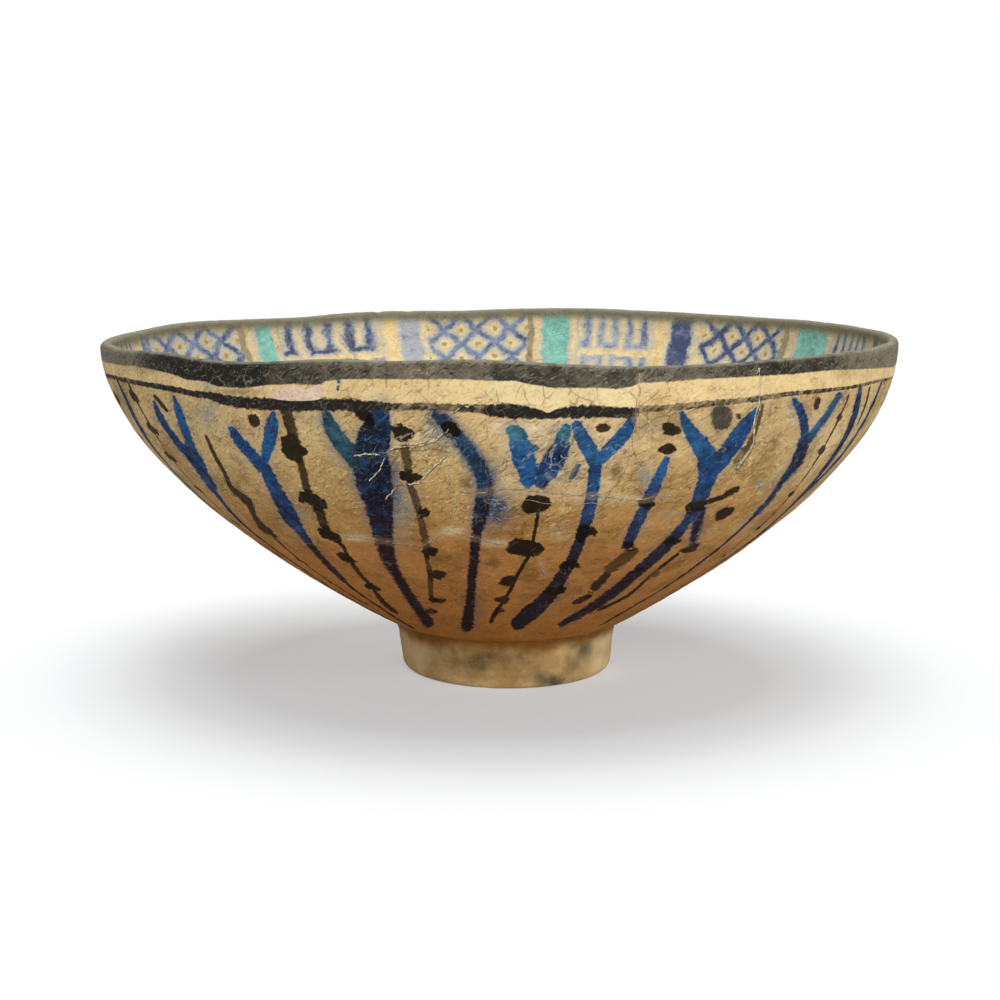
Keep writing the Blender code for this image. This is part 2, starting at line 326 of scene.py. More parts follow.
# Black blots of the seen side: how thin the black is, and the pixels round them
BLACK_BLOTS = {
    "c": (0.25, ((248, 415), (255, 414), (261, 423), (254, 428), (249, 424))),
    "d_top": (0.15, (
        (282, 436), (292, 436), (297, 442), (307, 450), (308, 453), (297, 461), (287, 458), (281, 450),
    )),
    "d_second": (0.1, ((300, 492), (312, 492), (326, 502), (327, 509), (320, 510), (308, 504), (299, 501))),
    "d_third": (0.1, ((317, 528), (328, 529), (340, 536), (342, 542), (334, 541), (322, 537))),
    "d_fourth": (0.15, ((336, 553), (341, 552), (349, 556), (358, 562), (351, 563), (340, 559))),
    "d_fifth": (0.2, ((364, 584), (370, 583), (382, 589), (376, 591), (366, 588))),
    "d_sixth": (0.3, ((377, 597), (381, 598), (388, 605), (384, 606))),
    "f_top": (0.1, (
        (391, 427), (396, 424), (400, 423), (406, 427), (415, 431), (414, 436), (405, 442), (396, 440),
    )),
    "f_second": (0.1, ((400, 472), (406, 471), (423, 476), (420, 480), (408, 482), (400, 479))),
    "f_third": (0.15, ((421, 511), (426, 508), (431, 512), (428, 517), (422, 516))),
    "f_fourth": (0.2, ((421, 551), (425, 547), (435, 547), (439, 552), (434, 556), (424, 555))),
    "f_fifth": (0.25, ((429, 573), (437, 570), (446, 573), (445, 578), (436, 580), (430, 577))),
    "f_sixth": (0.25, ((428, 599), (434, 597), (446, 600), (442, 603), (432, 602))),
    "f_last": (0.35, ((424, 610), (431, 608), (438, 611), (434, 614), (426, 613))),
    "g_top": (0.2, ((441, 425), (449, 421), (455, 423), (461, 432), (457, 437), (448, 437), (442, 431))),
    "h_upper": (0.05, (
        (521, 505), (528, 496), (538, 495), (549, 498), (551, 504), (546, 511), (538, 513), (525, 513),
    )),
    "h_large": (0.0, (
        (505, 549), (510, 542), (516, 538), (525, 539), (534, 541), (544, 546), (543, 552), (537, 556),
        (523, 556), (511, 554),
    )),
    "h_low": (0.25, ((499, 581), (506, 576), (516, 576), (516, 583), (508, 586), (500, 584))),
    "h_last": (0.3, ((494, 600), (499, 597), (509, 598), (507, 603), (500, 604))),
    "i_top": (0.1, (
        (577, 528), (584, 524), (594, 527), (598, 533), (595, 536), (588, 536), (581, 544), (576, 538),
    )),
    "i_second": (0.1, ((558, 568), (566, 560), (576, 561), (581, 568), (574, 568), (568, 573))),
    "i_third": (0.2, ((545, 590), (552, 587), (564, 586), (566, 591), (558, 595), (548, 595))),
    "i_side": (0.3, ((596, 425), (603, 423), (611, 426), (609, 431), (600, 433), (596, 430))),
    "j_upper": (0.25, ((662, 425), (669, 422), (679, 427), (681, 432), (673, 436), (664, 433))),
    "j_lower": (0.2, ((658, 448), (664, 444), (675, 445), (676, 451), (669, 455), (660, 453))),
    "j_ring": (0.05, ((638, 501), (645, 496), (653, 499), (655, 505), (649, 509), (640, 507))),
    "j_end": (0.05, ((621, 545), (627, 541), (634, 543), (633, 548), (628, 550), (622, 548))),
    "k_ring": (0.25, ((685, 508), (690, 502), (702, 503), (705, 507), (698, 512), (688, 514))),
    "k_second": (0.2, ((663, 541), (670, 537), (680, 539), (681, 541), (674, 545), (666, 546))),
    "k_third": (0.25, ((634, 569), (640, 567), (649, 569), (644, 572), (637, 573))),
    "k_round": (0.8, (
        (711, 413), (716, 407), (727, 407), (732, 412), (732, 422), (727, 429), (716, 429), (711, 423),
    )),
    "k_speck": (0.4, ((736, 416), (739, 413), (742, 417), (739, 420))),
    "k_leaf": (0.25, ((710, 499), (722, 495), (730, 488), (739, 486), (739, 491), (732, 495), (722, 499))),
    "k_petal": (0.2, ((716, 514), (724, 508), (736, 507), (731, 514), (724, 519), (716, 521))),
    "k_seed": (0.25, ((678, 552), (686, 547), (693, 544), (700, 543), (696, 550), (688, 553))),
    "k_low": (0.6, ((650, 574), (656, 571), (661, 572), (658, 576), (652, 577))),
    "l_side": (0.3, ((813, 404), (818, 397), (821, 400), (819, 408), (814, 411))),
}
# Strokes that pass out of sight round the edge: darkness, then angle, height and width
EDGE_STEMS = {
    "left_edge": (0.7, (
        (-64.2, 81, 2.0), (-62.6, 77, 3.4), (-62.6, 72, 3.6), (-63.6, 64, 3.0), (-64.6, 50, 2.3),
        (-64.8, 34, 1.8), (-64.4, 17, 1.8),
    )),
    "stem_b": (0.6, (
        (-50.2, 60, 2.6), (-52.2, 54, 2.3), (-54.2, 47, 2.0), (-55.4, 38, 1.8), (-55.6, 28, 1.6),
        (-55.0, 17, 1.7),
    )),
    "stem_c": (0.5, ((-39.8, 33, 1.6), (-41.2, 28, 1.5), (-42.2, 22, 1.5), (-42.6, 16, 1.6))),
    "stem_l": (0.85, (
        (46.0, 52, 1.9), (45.8, 46, 1.7), (45.0, 39, 1.6), (43.6, 31, 1.5), (41.4, 24, 1.5),
        (39.0, 18, 1.5),
    )),
    "left_prong_n": (0.8, (
        (54.8, 81, 2.0), (55.4, 77.5, 3.4), (56.5, 72, 3.8), (57.4, 66, 3.4), (58.4, 59, 3.0),
        (59.2, 53, 2.8),
    )),
    "right_prong_n": (0.7, (
        (63.4, 81, 1.6), (62.8, 76, 2.6), (62.6, 70, 2.8), (61.6, 62, 2.8), (59.7, 54, 2.8),
    )),
    "stem_n": (0.85, ((59.3, 55, 3.4), (59.2, 47, 2.6), (58.8, 38, 2.0), (58.0, 27, 1.6), (57.0, 17, 1.7))),
}
# Black strings that pass out of sight in the same way, then the height and size of their beads
EDGE_STRINGS = {
    "left_edge": (
        (
            (-58.3, 81, 1.6), (-57.4, 76, 1.3), (-57.1, 71, 1.2), (-57.8, 65, 1.0), (-58.3, 54, 0.9),
            (-58.8, 40, 0.8), (-58.6, 26, 0.7), (-58.2, 19, 0.6),
        ),
        ((78.3, 3.0), (70.5, 3.0), (63.4, 2.8), (55, 2.3), (46, 2.0), (37, 1.7), (28, 1.4)),
    ),
    "string_c": (
        ((-45.6, 48, 1.4), (-46.6, 44, 1.2), (-47.6, 38, 1.0), (-48.2, 30, 0.9), (-47.8, 21, 0.7)),
        ((45.5, 2.2), (37, 1.8), (30, 1.5), (24, 1.2)),
    ),
    "string_m": (
        (
            (51.8, 80, 0.9), (51.3, 74, 1.0), (51.3, 67, 0.9), (52.2, 60, 0.9), (52.9, 52, 0.8),
            (53.4, 43, 0.7), (53.0, 32, 0.7), (52.2, 20, 0.6),
        ),
        ((75, 1.8), (67, 2.4), (55.4, 1.9), (46, 1.6), (38, 1.4), (29, 1.2)),
    ),
    "dash_n": (
        ((58.4, 81, 1.2), (58.8, 76.5, 1.8), (59.4, 72, 1.0)),
        (),
    ),
}
# Soft patches on the seen wall and foot: pixels of the middle, half width, half height and strength
PATCHES = {
    "foot_brown": ((478, 656, 44, 20, 0.95), (466, 673, 34, 10, 0.6), (524, 664, 26, 12, 0.3)),
    # Where painted light lifts the top of the foot out of the shade the bowl casts on it
    "foot_painted_light": (
        (595, 638, 24, 18, 0.9), (416, 652, 18, 16, 0.6), (560, 632, 26, 12, 0.5), (600, 662, 16, 14, 0.7),
    ),
    "foot_grey": (
        (583, 647, 11, 13, 0.9), (556, 681, 22, 9, 0.95), (570, 666, 10, 12, 0.6), (482, 662, 18, 10, 0.5),
        (436, 643, 8, 9, 0.4),
    ),
    "grey_blue": (
        (401, 505, 13, 30, 0.8), (208, 413, 9, 14, 0.9), (208, 387, 5, 7, 0.8), (645, 476, 9, 11, 0.8),
        (432, 430, 9, 13, 0.9), (443, 446, 6, 8, 0.6), (323, 420, 8, 9, 0.6), (301, 515, 9, 11, 0.35),
        (792, 409, 6, 10, 0.6), (641, 523, 8, 9, 0.5), (760, 486, 4, 4, 0.9), (668, 513, 8, 6, 0.35),
        (745, 525, 11, 5, 0.3), (230, 433, 8, 8, 0.35), (560, 428, 13, 6, 0.5), (505, 430, 6, 8, 0.5),
        (340, 455, 10, 12, 0.4), (382, 404, 10, 9, 0.8), (655, 425, 14, 8, 0.4), (760, 405, 10, 6, 0.4),
    ),
    "deep_blue": (
        (494, 509, 16, 19, 1.4), (391, 490, 11, 28, 0.8), (475, 612, 9, 16, 0.45), (462, 600, 6, 6, 0.3),
        (362, 478, 10, 24, 0.5), (560, 594, 8, 8, 0.3), (352, 455, 8, 10, 0.4), (497, 470, 9, 14, 0.4),
    ),
    "dirt": (
        (288, 512, 46, 34, 0.32), (232, 500, 34, 22, 0.22), (236, 392, 30, 5, 0.75),
        (467, 483, 11, 10, 0.8), (455, 570, 34, 30, 0.35), (493, 563, 8, 6, 0.7), (738, 460, 8, 9, 0.6),
        (440, 560, 18, 10, 0.5), (585, 566, 12, 9, 0.4), (300, 545, 14, 16, 0.35),
        (505, 515, 30, 30, 0.25), (420, 520, 20, 30, 0.25), (480, 590, 30, 20, 0.3),
        (660, 400, 24, 8, 0.4), (215, 470, 30, 40, 0.2), (617, 472, 7, 11, 0.8), (602, 512, 5, 10, 0.6),
        (320, 470, 20, 20, 0.2), (620, 500, 60, 4, 0.3), (500, 495, 60, 4, 0.25), (716, 470, 14, 10, 0.25),
        (272, 522, 26, 18, 0.45), (180, 480, 24, 30, 0.35), (330, 500, 18, 26, 0.3),
        (300, 470, 14, 20, 0.25), (122, 410, 20, 44, 0.5), (150, 368, 34, 9, 0.5), (215, 386, 26, 7, 0.4),
        (850, 374, 26, 9, 0.4), (765, 384, 30, 8, 0.25), (745, 442, 85, 56, 0.4), (330, 470, 26, 30, 0.3),
    ),
    "pale": (
        (536, 428, 22, 13, 1.2), (545, 421, 44, 5, 0.9), (500, 426, 12, 8, 0.8), (604, 432, 14, 10, 0.7),
        (567, 455, 6, 13, 0.9), (556, 475, 6, 11, 0.9), (530, 492, 26, 6, 0.4), (600, 498, 50, 4, 0.6),
        (300, 425, 10, 10, 0.4), (338, 424, 6, 8, 0.5), (358, 538, 15, 3, 0.9), (450, 531, 12, 4, 0.8),
        (496, 543, 14, 3, 0.9), (560, 533, 12, 7, 0.5), (190, 412, 10, 10, 0.35), (340, 430, 8, 12, 0.5),
        (315, 395, 60, 6, 0.2), (825, 447, 6, 6, 0.8), (835, 438, 6, 6, 0.5), (865, 372, 8, 6, 0.5),
        (560, 400, 70, 6, 0.6), (640, 455, 12, 20, 0.2),
    ),
    # Glint patches: where the glaze shows painted glints and strong painted light and shade on its folds and
    # wrinkles
    "glint": (
        (420, 440, 60, 40, 0.9), (400, 390, 90, 20, 0.7), (570, 450, 80, 50, 0.8), (700, 400, 60, 20, 0.9),
        (740, 440, 30, 40, 0.7), (450, 510, 60, 30, 0.7), (560, 520, 50, 30, 0.7), (260, 380, 90, 16, 0.6),
        (310, 430, 30, 30, 0.5), (850, 400, 50, 30, 0.5), (560, 372, 80, 12, 0.4), (690, 372, 80, 14, 0.7),
        (610, 500, 60, 30, 0.6), (215, 395, 30, 20, 0.4), (489, 485, 11, 10, 1.0), (372, 440, 22, 26, 0.6),
    ),
}
# Hair cracks in the glaze that catch the light: strength and pixels
CRACKS = (
    (1.0, ((355, 456), (366, 454), (380, 455), (388, 452), (396, 447), (420, 446), (436, 440), (448, 430))),
    (0.8, ((384, 458), (380, 470), (370, 480))),
    (0.9, ((385, 500), (392, 492), (398, 484), (412, 484), (420, 482), (430, 470), (440, 462), (446, 454))),
    (0.5, ((399, 413), (406, 405), (418, 402), (432, 404))),
    (0.5, ((440, 411), (448, 406), (453, 401))),
    (0.8, ((455, 412), (462, 407), (472, 405), (482, 404))),
    (0.5, ((476, 398), (486, 395), (493, 388))),
    (0.6, ((446, 488), (450, 480), (449, 472))),
    (0.5, ((455, 520), (452, 508), (457, 500))),
    (0.5, ((545, 448), (551, 440), (553, 428))),
    (0.5, ((566, 480), (574, 466), (578, 456))),
    (0.4, ((606, 493), (616, 484), (622, 474))),
    (0.5, ((425, 372), (436, 366), (442, 362))),
    (0.4, ((372, 378), (376, 368), (384, 362))),
    (0.4, ((408, 372), (420, 370), (430, 376))),
    (0.6, ((540, 560), (542, 570), (544, 574))),
    (0.5, ((640, 405), (652, 397), (660, 390))),
    (0.5, ((668, 412), (676, 404), (684, 402))),
    (0.5, ((755, 372), (762, 364), (765, 358))),
    (1.0, ((759, 366), (760, 378), (760, 400), (755, 416), (754, 436), (751, 450), (738, 468))),
    (0.5, ((742, 455), (734, 466), (730, 476))),
    (0.5, ((764, 397), (776, 398), (786, 395))),
    (0.55, (
        (460, 491), (481, 493), (499, 489), (520, 489), (552, 493), (598, 496), (638, 500), (671, 495),
    )),
    (0.5, ((344, 536), (370, 539), (384, 541), (421, 547), (447, 531), (478, 539), (506, 545))),
    (0.6, ((636, 420), (638, 408), (639, 396), (640, 383), (640, 374))),
    (0.3, ((282, 489), (292, 488), (302, 488))),
)


def bezier(t, *corners):
    """A curve from the first corner to the last that is drawn towards those between."""
    while len(corners) > 1:
        corners = [start + (end - start) * t for start, end in zip(corners, corners[1:])]
    return corners[0]


def profile_table(count=400):
    """The outer wall from the foot to the lip: share of its length, radius, height and normal."""
    lip_height = RIM_HEIGHT - LIP / 2
    top = np.array([WIDEST_RADIUS, lip_height])
    belly = np.array([WIDEST_RADIUS, lip_height - BELLY_FULLNESS])
    foot = np.array([FOOT_TOP_RADIUS, FOOT_HEIGHT])
    points = bezier(np.linspace(0.0, 1.0, count)[:, None], foot, foot, belly, top)
    steps = np.gradient(points, axis=0)
    tangents = steps / np.linalg.norm(steps, axis=1)[:, None]
    lengths = np.concatenate([[0.0], np.cumsum(np.linalg.norm(np.diff(points, axis=0), axis=1))])
    return lengths, points[:, 0], points[:, 1], tangents[:, 1], -tangents[:, 0]


ARC, RADII, HEIGHTS, OUT_R, OUT_Z = profile_table()
WALL_LENGTH = ARC[-1]


def wall_at(arc):
    """Radius, height and outward normal at a distance up the outer wall from the foot."""
    return tuple(np.interp(arc, ARC, column) for column in (RADII, HEIGHTS, OUT_R, OUT_Z))


def wall_thickness(arc):
    """How thick the wall is at a distance up it: it thins towards the lip."""
    depth = RIM_HEIGHT - LIP / 2 - wall_at(arc)[1]
    return LIP + (WALL - LIP) * np.clip(depth / LIP_TAPER, 0, 1)


def arc_at_radius(radius):
    """How far up the wall it has a radius."""
    return np.interp(radius, RADII, ARC)


def lean_at(height):
    """How far the leaning axis lies off the middle of the rim."""
    return FOOT_LEAN * (1 - height / RIM_HEIGHT)


def round_axis(angle, radius, height):
    """Points at an angle, a distance from the leaning axis and a height."""
    turn = np.radians(angle)
    return np.stack([radius * np.sin(turn) + lean_at(height), -radius * np.cos(turn), height], axis=-1)


def wall_point(angle, arc, depth=0.0):
    """A point of the wall, some depth under its outer surface."""
    radius, height, out_r, out_z = wall_at(arc)
    return round_axis(angle, radius - depth * out_r, height - depth * out_z)


def wall_normals(angle, arc):
    """The outward normals of the turned wall."""
    _, _, out_r, out_z = wall_at(arc)
    turn = np.radians(angle)
    return np.stack([out_r * np.sin(turn), -out_r * np.cos(turn), out_z], axis=-1)


def smooth_path(points, pieces=6, closed=False, pull=1.0):
    """A smooth path through a stroke's points; less pull keeps its corners."""
    points = np.asarray(points, float)
    if closed:
        padded = np.vstack([points[-1:], points, points[:2]])
    else:
        padded = np.vstack([2 * points[0] - points[1], points, 2 * points[-1] - points[-2]])
    t = np.linspace(0, 1, pieces, endpoint=False)[:, None]
    path = []
    for before, start, end, after in zip(padded, padded[1:], padded[2:], padded[3:]):
        leave, arrive = pull * (end - before) / 6, pull * (after - start) / 6
        path.append(bezier(t, start, start + leave, end - arrive, end))
    return np.vstack(path + [points[:1] if closed else points[-1:]])


WAVE_TABLE = smooth_path(RIM_WAVES, 8)


def rise_of_rim(angle, arc):
    """How far the wavy rim lifts a place of the wall."""
    turned = (angle + 180) % 360 - 180
    share = np.clip(arc / WALL_LENGTH, 0, 1) ** 2
    return np.interp(turned, WAVE_TABLE[:, 0], WAVE_TABLE[:, 1]) * share


def camera_axes():
    """The camera's right, up and forward directions, before its roll."""
    forward = np.array([0.0, cos(CAMERA_PITCH), -sin(CAMERA_PITCH)])
    up = np.array([0.0, sin(CAMERA_PITCH), cos(CAMERA_PITCH)])
    return np.array([1.0, 0.0, 0.0]), up, forward


def rolled(across, down, roll):
    """Turn picture directions by the camera's roll."""
    return across * cos(roll) - down * sin(roll), across * sin(roll) + down * cos(roll)


def to_photo(points):
    """The pixels where points of the bowl show in the photograph."""
    right, up, forward = camera_axes()
    away = points - np.array(CAMERA_PLACE)
    depth = away @ forward
    across, down = rolled(away @ right / depth, -(away @ up) / depth, CAMERA_ROLL)
    return np.stack([across, down], axis=-1) * FOCAL_PIXELS + PHOTO_SIZE / 2


def seen_on_wall(pixels):
    """Angle and distance up the wall of the points that pixels show."""
    pixels = (np.asarray(pixels, float)[:, :2] - PHOTO_SIZE / 2) / FOCAL_PIXELS
    across, down = rolled(pixels[:, 0], pixels[:, 1], -CAMERA_ROLL)
    right, up, forward = camera_axes()
    rays = forward + across[:, None] * right - down[:, None] * up
    depth = np.arange(*RAY_DEPTHS)
    points = np.array(CAMERA_PLACE) + rays[:, None, :] * depth[None, :, None]
    height = np.clip(points[..., 2], FOOT_HEIGHT, RIM_HEIGHT)
    beside = points[..., 0] - lean_at(height)
    outside = np.hypot(beside, points[..., 1]) - np.interp(height, HEIGHTS, RADII)
    inside = outside < 0
    first = np.where(inside.any(axis=1), inside.argmax(axis=1), outside.argmin(axis=1))
    rows = np.arange(len(pixels))
    angle = np.degrees(np.arctan2(beside[rows, first], -points[rows, first, 1]))
    arc = np.interp(height[rows, first], HEIGHTS, ARC)
    return angle, arc - rise_of_rim(angle, arc)


def round_the_rim(pixels, values, behind):
    """A value round the rim by angle: from pixels in front, and one value behind."""
    angle, _ = seen_on_wall(pixels)
    order = np.argsort(angle)
    angles = np.concatenate([[-180.0, -SEEN_EDGE], angle[order], [SEEN_EDGE, 180.0]])
    return angles, np.concatenate([[behind, behind], np.asarray(values, float)[order], [behind, behind]])


LINE_PIXELS = np.array(BLACK_LINE, float)
WEAR_PIXELS = np.array([(x, RIM_ROW, wear) for x, wear in RIM_WEAR])
BAND_ROUND = round_the_rim(RIM_BAND_EDGE, seen_on_wall(RIM_BAND_EDGE)[1], WALL_LENGTH - BAND_BEHIND)
LINE_ROUND = round_the_rim(LINE_PIXELS, seen_on_wall(LINE_PIXELS)[1], WALL_LENGTH - LINE_BEHIND)
LINE_WIDTH_ROUND = round_the_rim(LINE_PIXELS, LINE_PIXELS[:, 2] / PER_MM, LINE_WIDTH_BEHIND)
LINE_WEAR_ROUND = round_the_rim(LINE_PIXELS, LINE_PIXELS[:, 3], LINE_WEAR_BEHIND)
RIM_WEAR_ROUND = round_the_rim(WEAR_PIXELS, WEAR_PIXELS[:, 2], RIM_WEAR_BEHIND)


def from_path(spots, path, half=None):
    """From each spot to a path: distance, less half the path's width, the offset and that half width."""
    best = np.full(len(spots), np.inf)
    offset = np.zeros_like(spots)
    width = np.ones(len(spots))
    for index in range(len(path) - 1):
        start, run = path[index], path[index + 1] - path[index]
        along = np.clip((spots - start) @ run / max(run @ run, 1e-9), 0, 1)
        away = spots - start - along[:, None] * run
        distance = np.linalg.norm(away, axis=1)
        here = np.zeros(len(spots)) if half is None else half[index] + along * (half[index + 1] - half[index])
        closer = distance - here < best
        best = np.where(closer, distance - here, best)
        offset[closer] = away[closer]
        width = np.where(closer, here, width)
    return best, offset, width


def from_outline(spots, loop):
    """Distance from a closed outline in the picture, negative inside it."""
    distance, _, _ = from_path(spots, loop)
    inside = np.zeros(len(spots), bool)
    x, y = spots[:, 0], spots[:, 1]
    for (x1, y1), (x2, y2) in zip(loop, loop[1:]):
        if y1 != y2:
            inside ^= ((y1 > y) != (y2 > y)) & (x < (x2 - x1) * (y - y1) / (y2 - y1) + x1)
    return np.where(inside, -distance, distance)


def near(spots, path, reach):
    """Which spots lie within reach of a path's box."""
    low, high = path.min(axis=0) - reach, path.max(axis=0) + reach
    return np.flatnonzero(np.all((spots > low) & (spots < high), axis=1))


def lay_patch(target, column, away, strength):
    """Lay one soft patch over one column of what each spot carries."""
    target[:, column] = np.maximum(target[:, column], strength * np.exp(-PATCH_FALL * away**2))


def lay_patches(target, column, name, spots, share=1.0):
    """Lay the patches of one name over one column of what each spot carries."""
    for x, y, wide, tall, strength in PATCHES[name]:
        away = np.hypot((spots[:, 0] - x) / wide, (spots[:, 1] - y) / tall)
        lay_patch(target, column, away, strength * share)


def hidden_strokes():
    """Strokes by their place on the wall: those that go round the edge, and like ones for the unseen side."""
    rng = np.random.default_rng(7)
    blue, black, patches, cracks = [], [], [], []

    def on_wall(points):
        """A stroke's path on the wall and its half widths."""
        path = smooth_path(points)
        return wall_point(path[:, 0], np.interp(path[:, 1], HEIGHTS, ARC)), path[:, 2] / 2

    def bead(middle, height, size):
        """A short black dab across a string."""
        reach = np.degrees(size * rng.uniform(0.2, 0.5) / np.interp(height, HEIGHTS, RADII))
        ends = (middle - reach, height + 0.3, size), (middle + reach, height - 0.3, size * 0.9)
        black.append(on_wall(ends))

    for dark, points in EDGE_STEMS.values():
        blue.append((*on_wall(points), dark))
    for points, beads in EDGE_STRINGS.values():
        black.append(on_wall(points))
        angles, heights, _ = np.transpose(points)
        for height, size in beads:
            bead(np.interp(-height, -heights, angles), height, size)
    for index, angle in enumerate(np.arange(*HIDDEN_ROUND)):
        angle += rng.uniform(-1.2, 1.2)
        dark = rng.uniform(0.2, 0.8)
        if index % 2 == 1:
            fork = rng.uniform(65, 71)
            spread = rng.uniform(4.2, 6.2)
            wide = rng.uniform(2.6, 4.4)
            bend = rng.uniform(-2.5, 2.5)
            for side, tip, bow, share, shift in ((-1, 80, 0.6, 0.7, 0.0), (1, 80.5, 0.5, 0.8, -0.15)):
                out = side * spread
                bowed = (angle + out * bow, 76, wide * share)
                prong = (angle + out, tip, 1.2), bowed, (angle + side * 0.3, fork, wide)
                blue.append((*on_wall(prong), dark + shift))
            course = ((0.0, fork + 1, 1.2), (0.2, 58, 1.0), (0.6, 43, 0.75), (1.0, 28, 0.55), (1.3, 17, 0.65))
            stem = [(angle + bend * share, height, wide * size) for share, height, size in course]
            blue.append((*on_wall(stem), dark + 0.1))
        else:
            lowest = rng.uniform(18, 24)
            drift = rng.uniform(-1.5, 1.5) / 60
            heights = np.linspace(STRING_TOP, lowest, 7)
            string = []
            for height in heights:
                stray = rng.uniform(-0.4, 0.4)
                string.append((angle + drift * (STRING_TOP - height) + stray, height, rng.uniform(0.7, 1.2)))
            black.append(on_wall(string))
            for height in heights[:-1] - rng.uniform(0, 5):
                size = rng.uniform(2.6, 4.2) * (0.5 + 0.5 * (height - 15) / 60)
                bead(angle + drift * (STRING_TOP - height), height, size)
    for name in [name for name, count in HIDDEN_PATCHES.items() for _ in range(count)]:
        arc = np.interp(rng.uniform(22, 82), HEIGHTS, ARC)
        middle = wall_point(rng.uniform(*HIDDEN_SIDE), arc)
        patches.append((name, middle, rng.uniform(4, 11), rng.uniform(0.4, 0.9)))
    for _ in range(HIDDEN_CRACKS):
        place = np.array([rng.uniform(74, 286), rng.uniform(40, 84), 1.0])
        heading = rng.uniform(0, 2 * pi)
        path = [place]
        for _ in range(rng.integers(4, 9)):
            heading += rng.normal(0, 0.5)
            place = place + rng.uniform(2, 4) * np.array([0.65 * np.cos(heading), 0.8 * np.sin(heading), 0.0])
            path.append(place)
        cracks.append((rng.uniform(0.4, 1.0), on_wall(path)[0]))
    return blue, black, patches, cracks


HIDDEN = hidden_strokes()
NO_MARKS = {
    "paint": (FAR, FAR, FAR),
    "tint": (0.4, 0.0, 0.3),
    "string": (FAR, FAR, FAR),
    "line": (-FAR, 0.0, 0.4),
    "cast": (0.0, 0.0, 0.0),
    "wear": (0.3, 0.0, 0.3),
    "crack": (FAR, FAR, FAR),
    "edge": (FAR, FAR, 0.0),
}


def plain_marks(count):
    """What a surface without painting carries."""
    return {name: np.tile(values, (count, 1)) for name, values in NO_MARKS.items()}


def outside_paint(points, normals, angle, arc):
    """What each place of the outside carries; a distance is in millimetres and negative inside a mark."""
    points, normals, angle, arc = points.reshape(-1, 3), normals.reshape(-1, 3), angle.ravel(), arc.ravel()
    marks = plain_marks(len(points))
    paint, tint, string, cast, wear = (marks[name] for name in ("paint", "tint", "string", "cast", "wear"))
    crack, edge = marks["crack"], marks["edge"]
    turned = (angle + 180) % 360 - 180
    facing = np.einsum("ij,ij->i", normals, np.array(CAMERA_PLACE) - points) > 0
    shown = np.flatnonzero(facing & (np.abs(turned) < 100))
    spots = to_photo(points[shown])

    def nearby(path, reach):
        """The seen places within reach of a path, and their pixels."""
        some = near(spots, path[:, :2], reach)
        return shown[some], spots[some]

    weight = np.full(len(points), 1e-6)
    tint *= weight[:, None]
    for dark, green, soft, stroke in BLUE_STROKES.values():
        path = smooth_path(stroke)
        some, place = nearby(path, STROKE_REACH)
        distance = from_path(place, path[:, :2], path[:, 2] / 2)[0] / PER_MM
        paint[some, 0] = np.minimum(paint[some, 0], distance)
        share = np.exp(-TINT_BLEND * np.clip(distance, -1.2, FAR))
        weight[some] += share
        tint[some] += share[:, None] * np.array([dark, green, soft])
    tint /= weight[:, None]
    for thin, stroke in BLACK_STRINGS.values():
        path = smooth_path(stroke)
        some, place = nearby(path, STRING_REACH)
        _, offset, half = from_path(place, path[:, :2], path[:, 2] / 2)
        ratio = np.linalg.norm(offset, axis=1) / half
        closer = ratio < string[some, 2]
        some = some[closer]
        string[some, :2] = offset[closer] / half[closer, None]
        string[some, 2] = ratio[closer]
        wear[some, 2] = thin
    for thin, outline in BLACK_BLOTS.values():
        loop = smooth_path(outline, 4, closed=True, pull=0.7)
        some, place = nearby(loop, MARK_REACH)
        distance = from_outline(place, loop) / PER_MM
        closer = distance < paint[some, 1]
        paint[some[closer], 1] = distance[closer]
        inner = some[closer & (distance < 0.5)]
        wear[inner, 2] = thin
    laid = {
        "grey_blue": (cast, 0), "deep_blue": (cast, 1), "dirt": (cast, 2),
        "pale": (wear, 1), "glint": (wear, 0),
    }
    for name, (target, column) in laid.items():
        patched = target[shown]
        lay_patches(patched, column, name, spots)
        target[shown] = patched
    for strength, stroke in CRACKS:
        path = smooth_path(stroke, 3, pull=0.4)
        some, place = nearby(path, MARK_REACH)
        distance, offset, _ = from_path(place, path)
        closer = distance / PER_MM < crack[some, 2]
        some = some[closer]
        crack[some, :2] = offset[closer] / PER_MM
        crack[some, 2] = distance[closer] / PER_MM
        edge[some, 2] = strength

    blue, black, patches, cracks = HIDDEN
    for name, middle, size, strength in patches:
        target, column = laid[name]
        lay_patch(target, column, np.linalg.norm(points - middle, axis=1) / size, strength)
    for strength, path in cracks:
        some = near(points, path, FAR)
        distance, offset, _ = from_path(points[some], path)
        closer = distance < crack[some, 2]
        some, offset, distance = some[closer], offset[closer], distance[closer]
        turn = np.radians(angle[some])
        across = offset[:, 0] * np.cos(turn) + offset[:, 1] * np.sin(turn)
        down = np.sqrt(np.maximum(distance**2 - across**2, 0))
        crack[some] = np.stack([across, np.copysign(down, -offset[:, 2]), distance], axis=-1)
        edge[some, 2] = strength
    for path, half, dark in blue:
        some = near(points, path, FAR)
        distance = from_path(points[some], path, half)[0]
        closer = distance < paint[some, 0]
        paint[some[closer], 0] = distance[closer]
        tint[some[closer]] = dark, 0.0, 0.25
    for path, half in black:
        some = near(points, path, FAR)
        distance = from_path(points[some], path, half)[0]
        paint[some, 1] = np.minimum(paint[some, 1], distance)

    paint[:, 2] = np.interp(turned, *BAND_ROUND) - arc
    line_half = np.interp(turned, *LINE_WIDTH_ROUND) / 2
    marks["line"][:, 0] = (arc - np.interp(turned, *LINE_ROUND)) / line_half
    marks["line"][:, 1] = np.interp(turned, *LINE_WEAR_ROUND)
    marks["line"][:, 2] = np.interp(turned, *RIM_WEAR_ROUND)
    edge[:, 1] = WALL_LENGTH + LIP / 2 - arc
    return marks


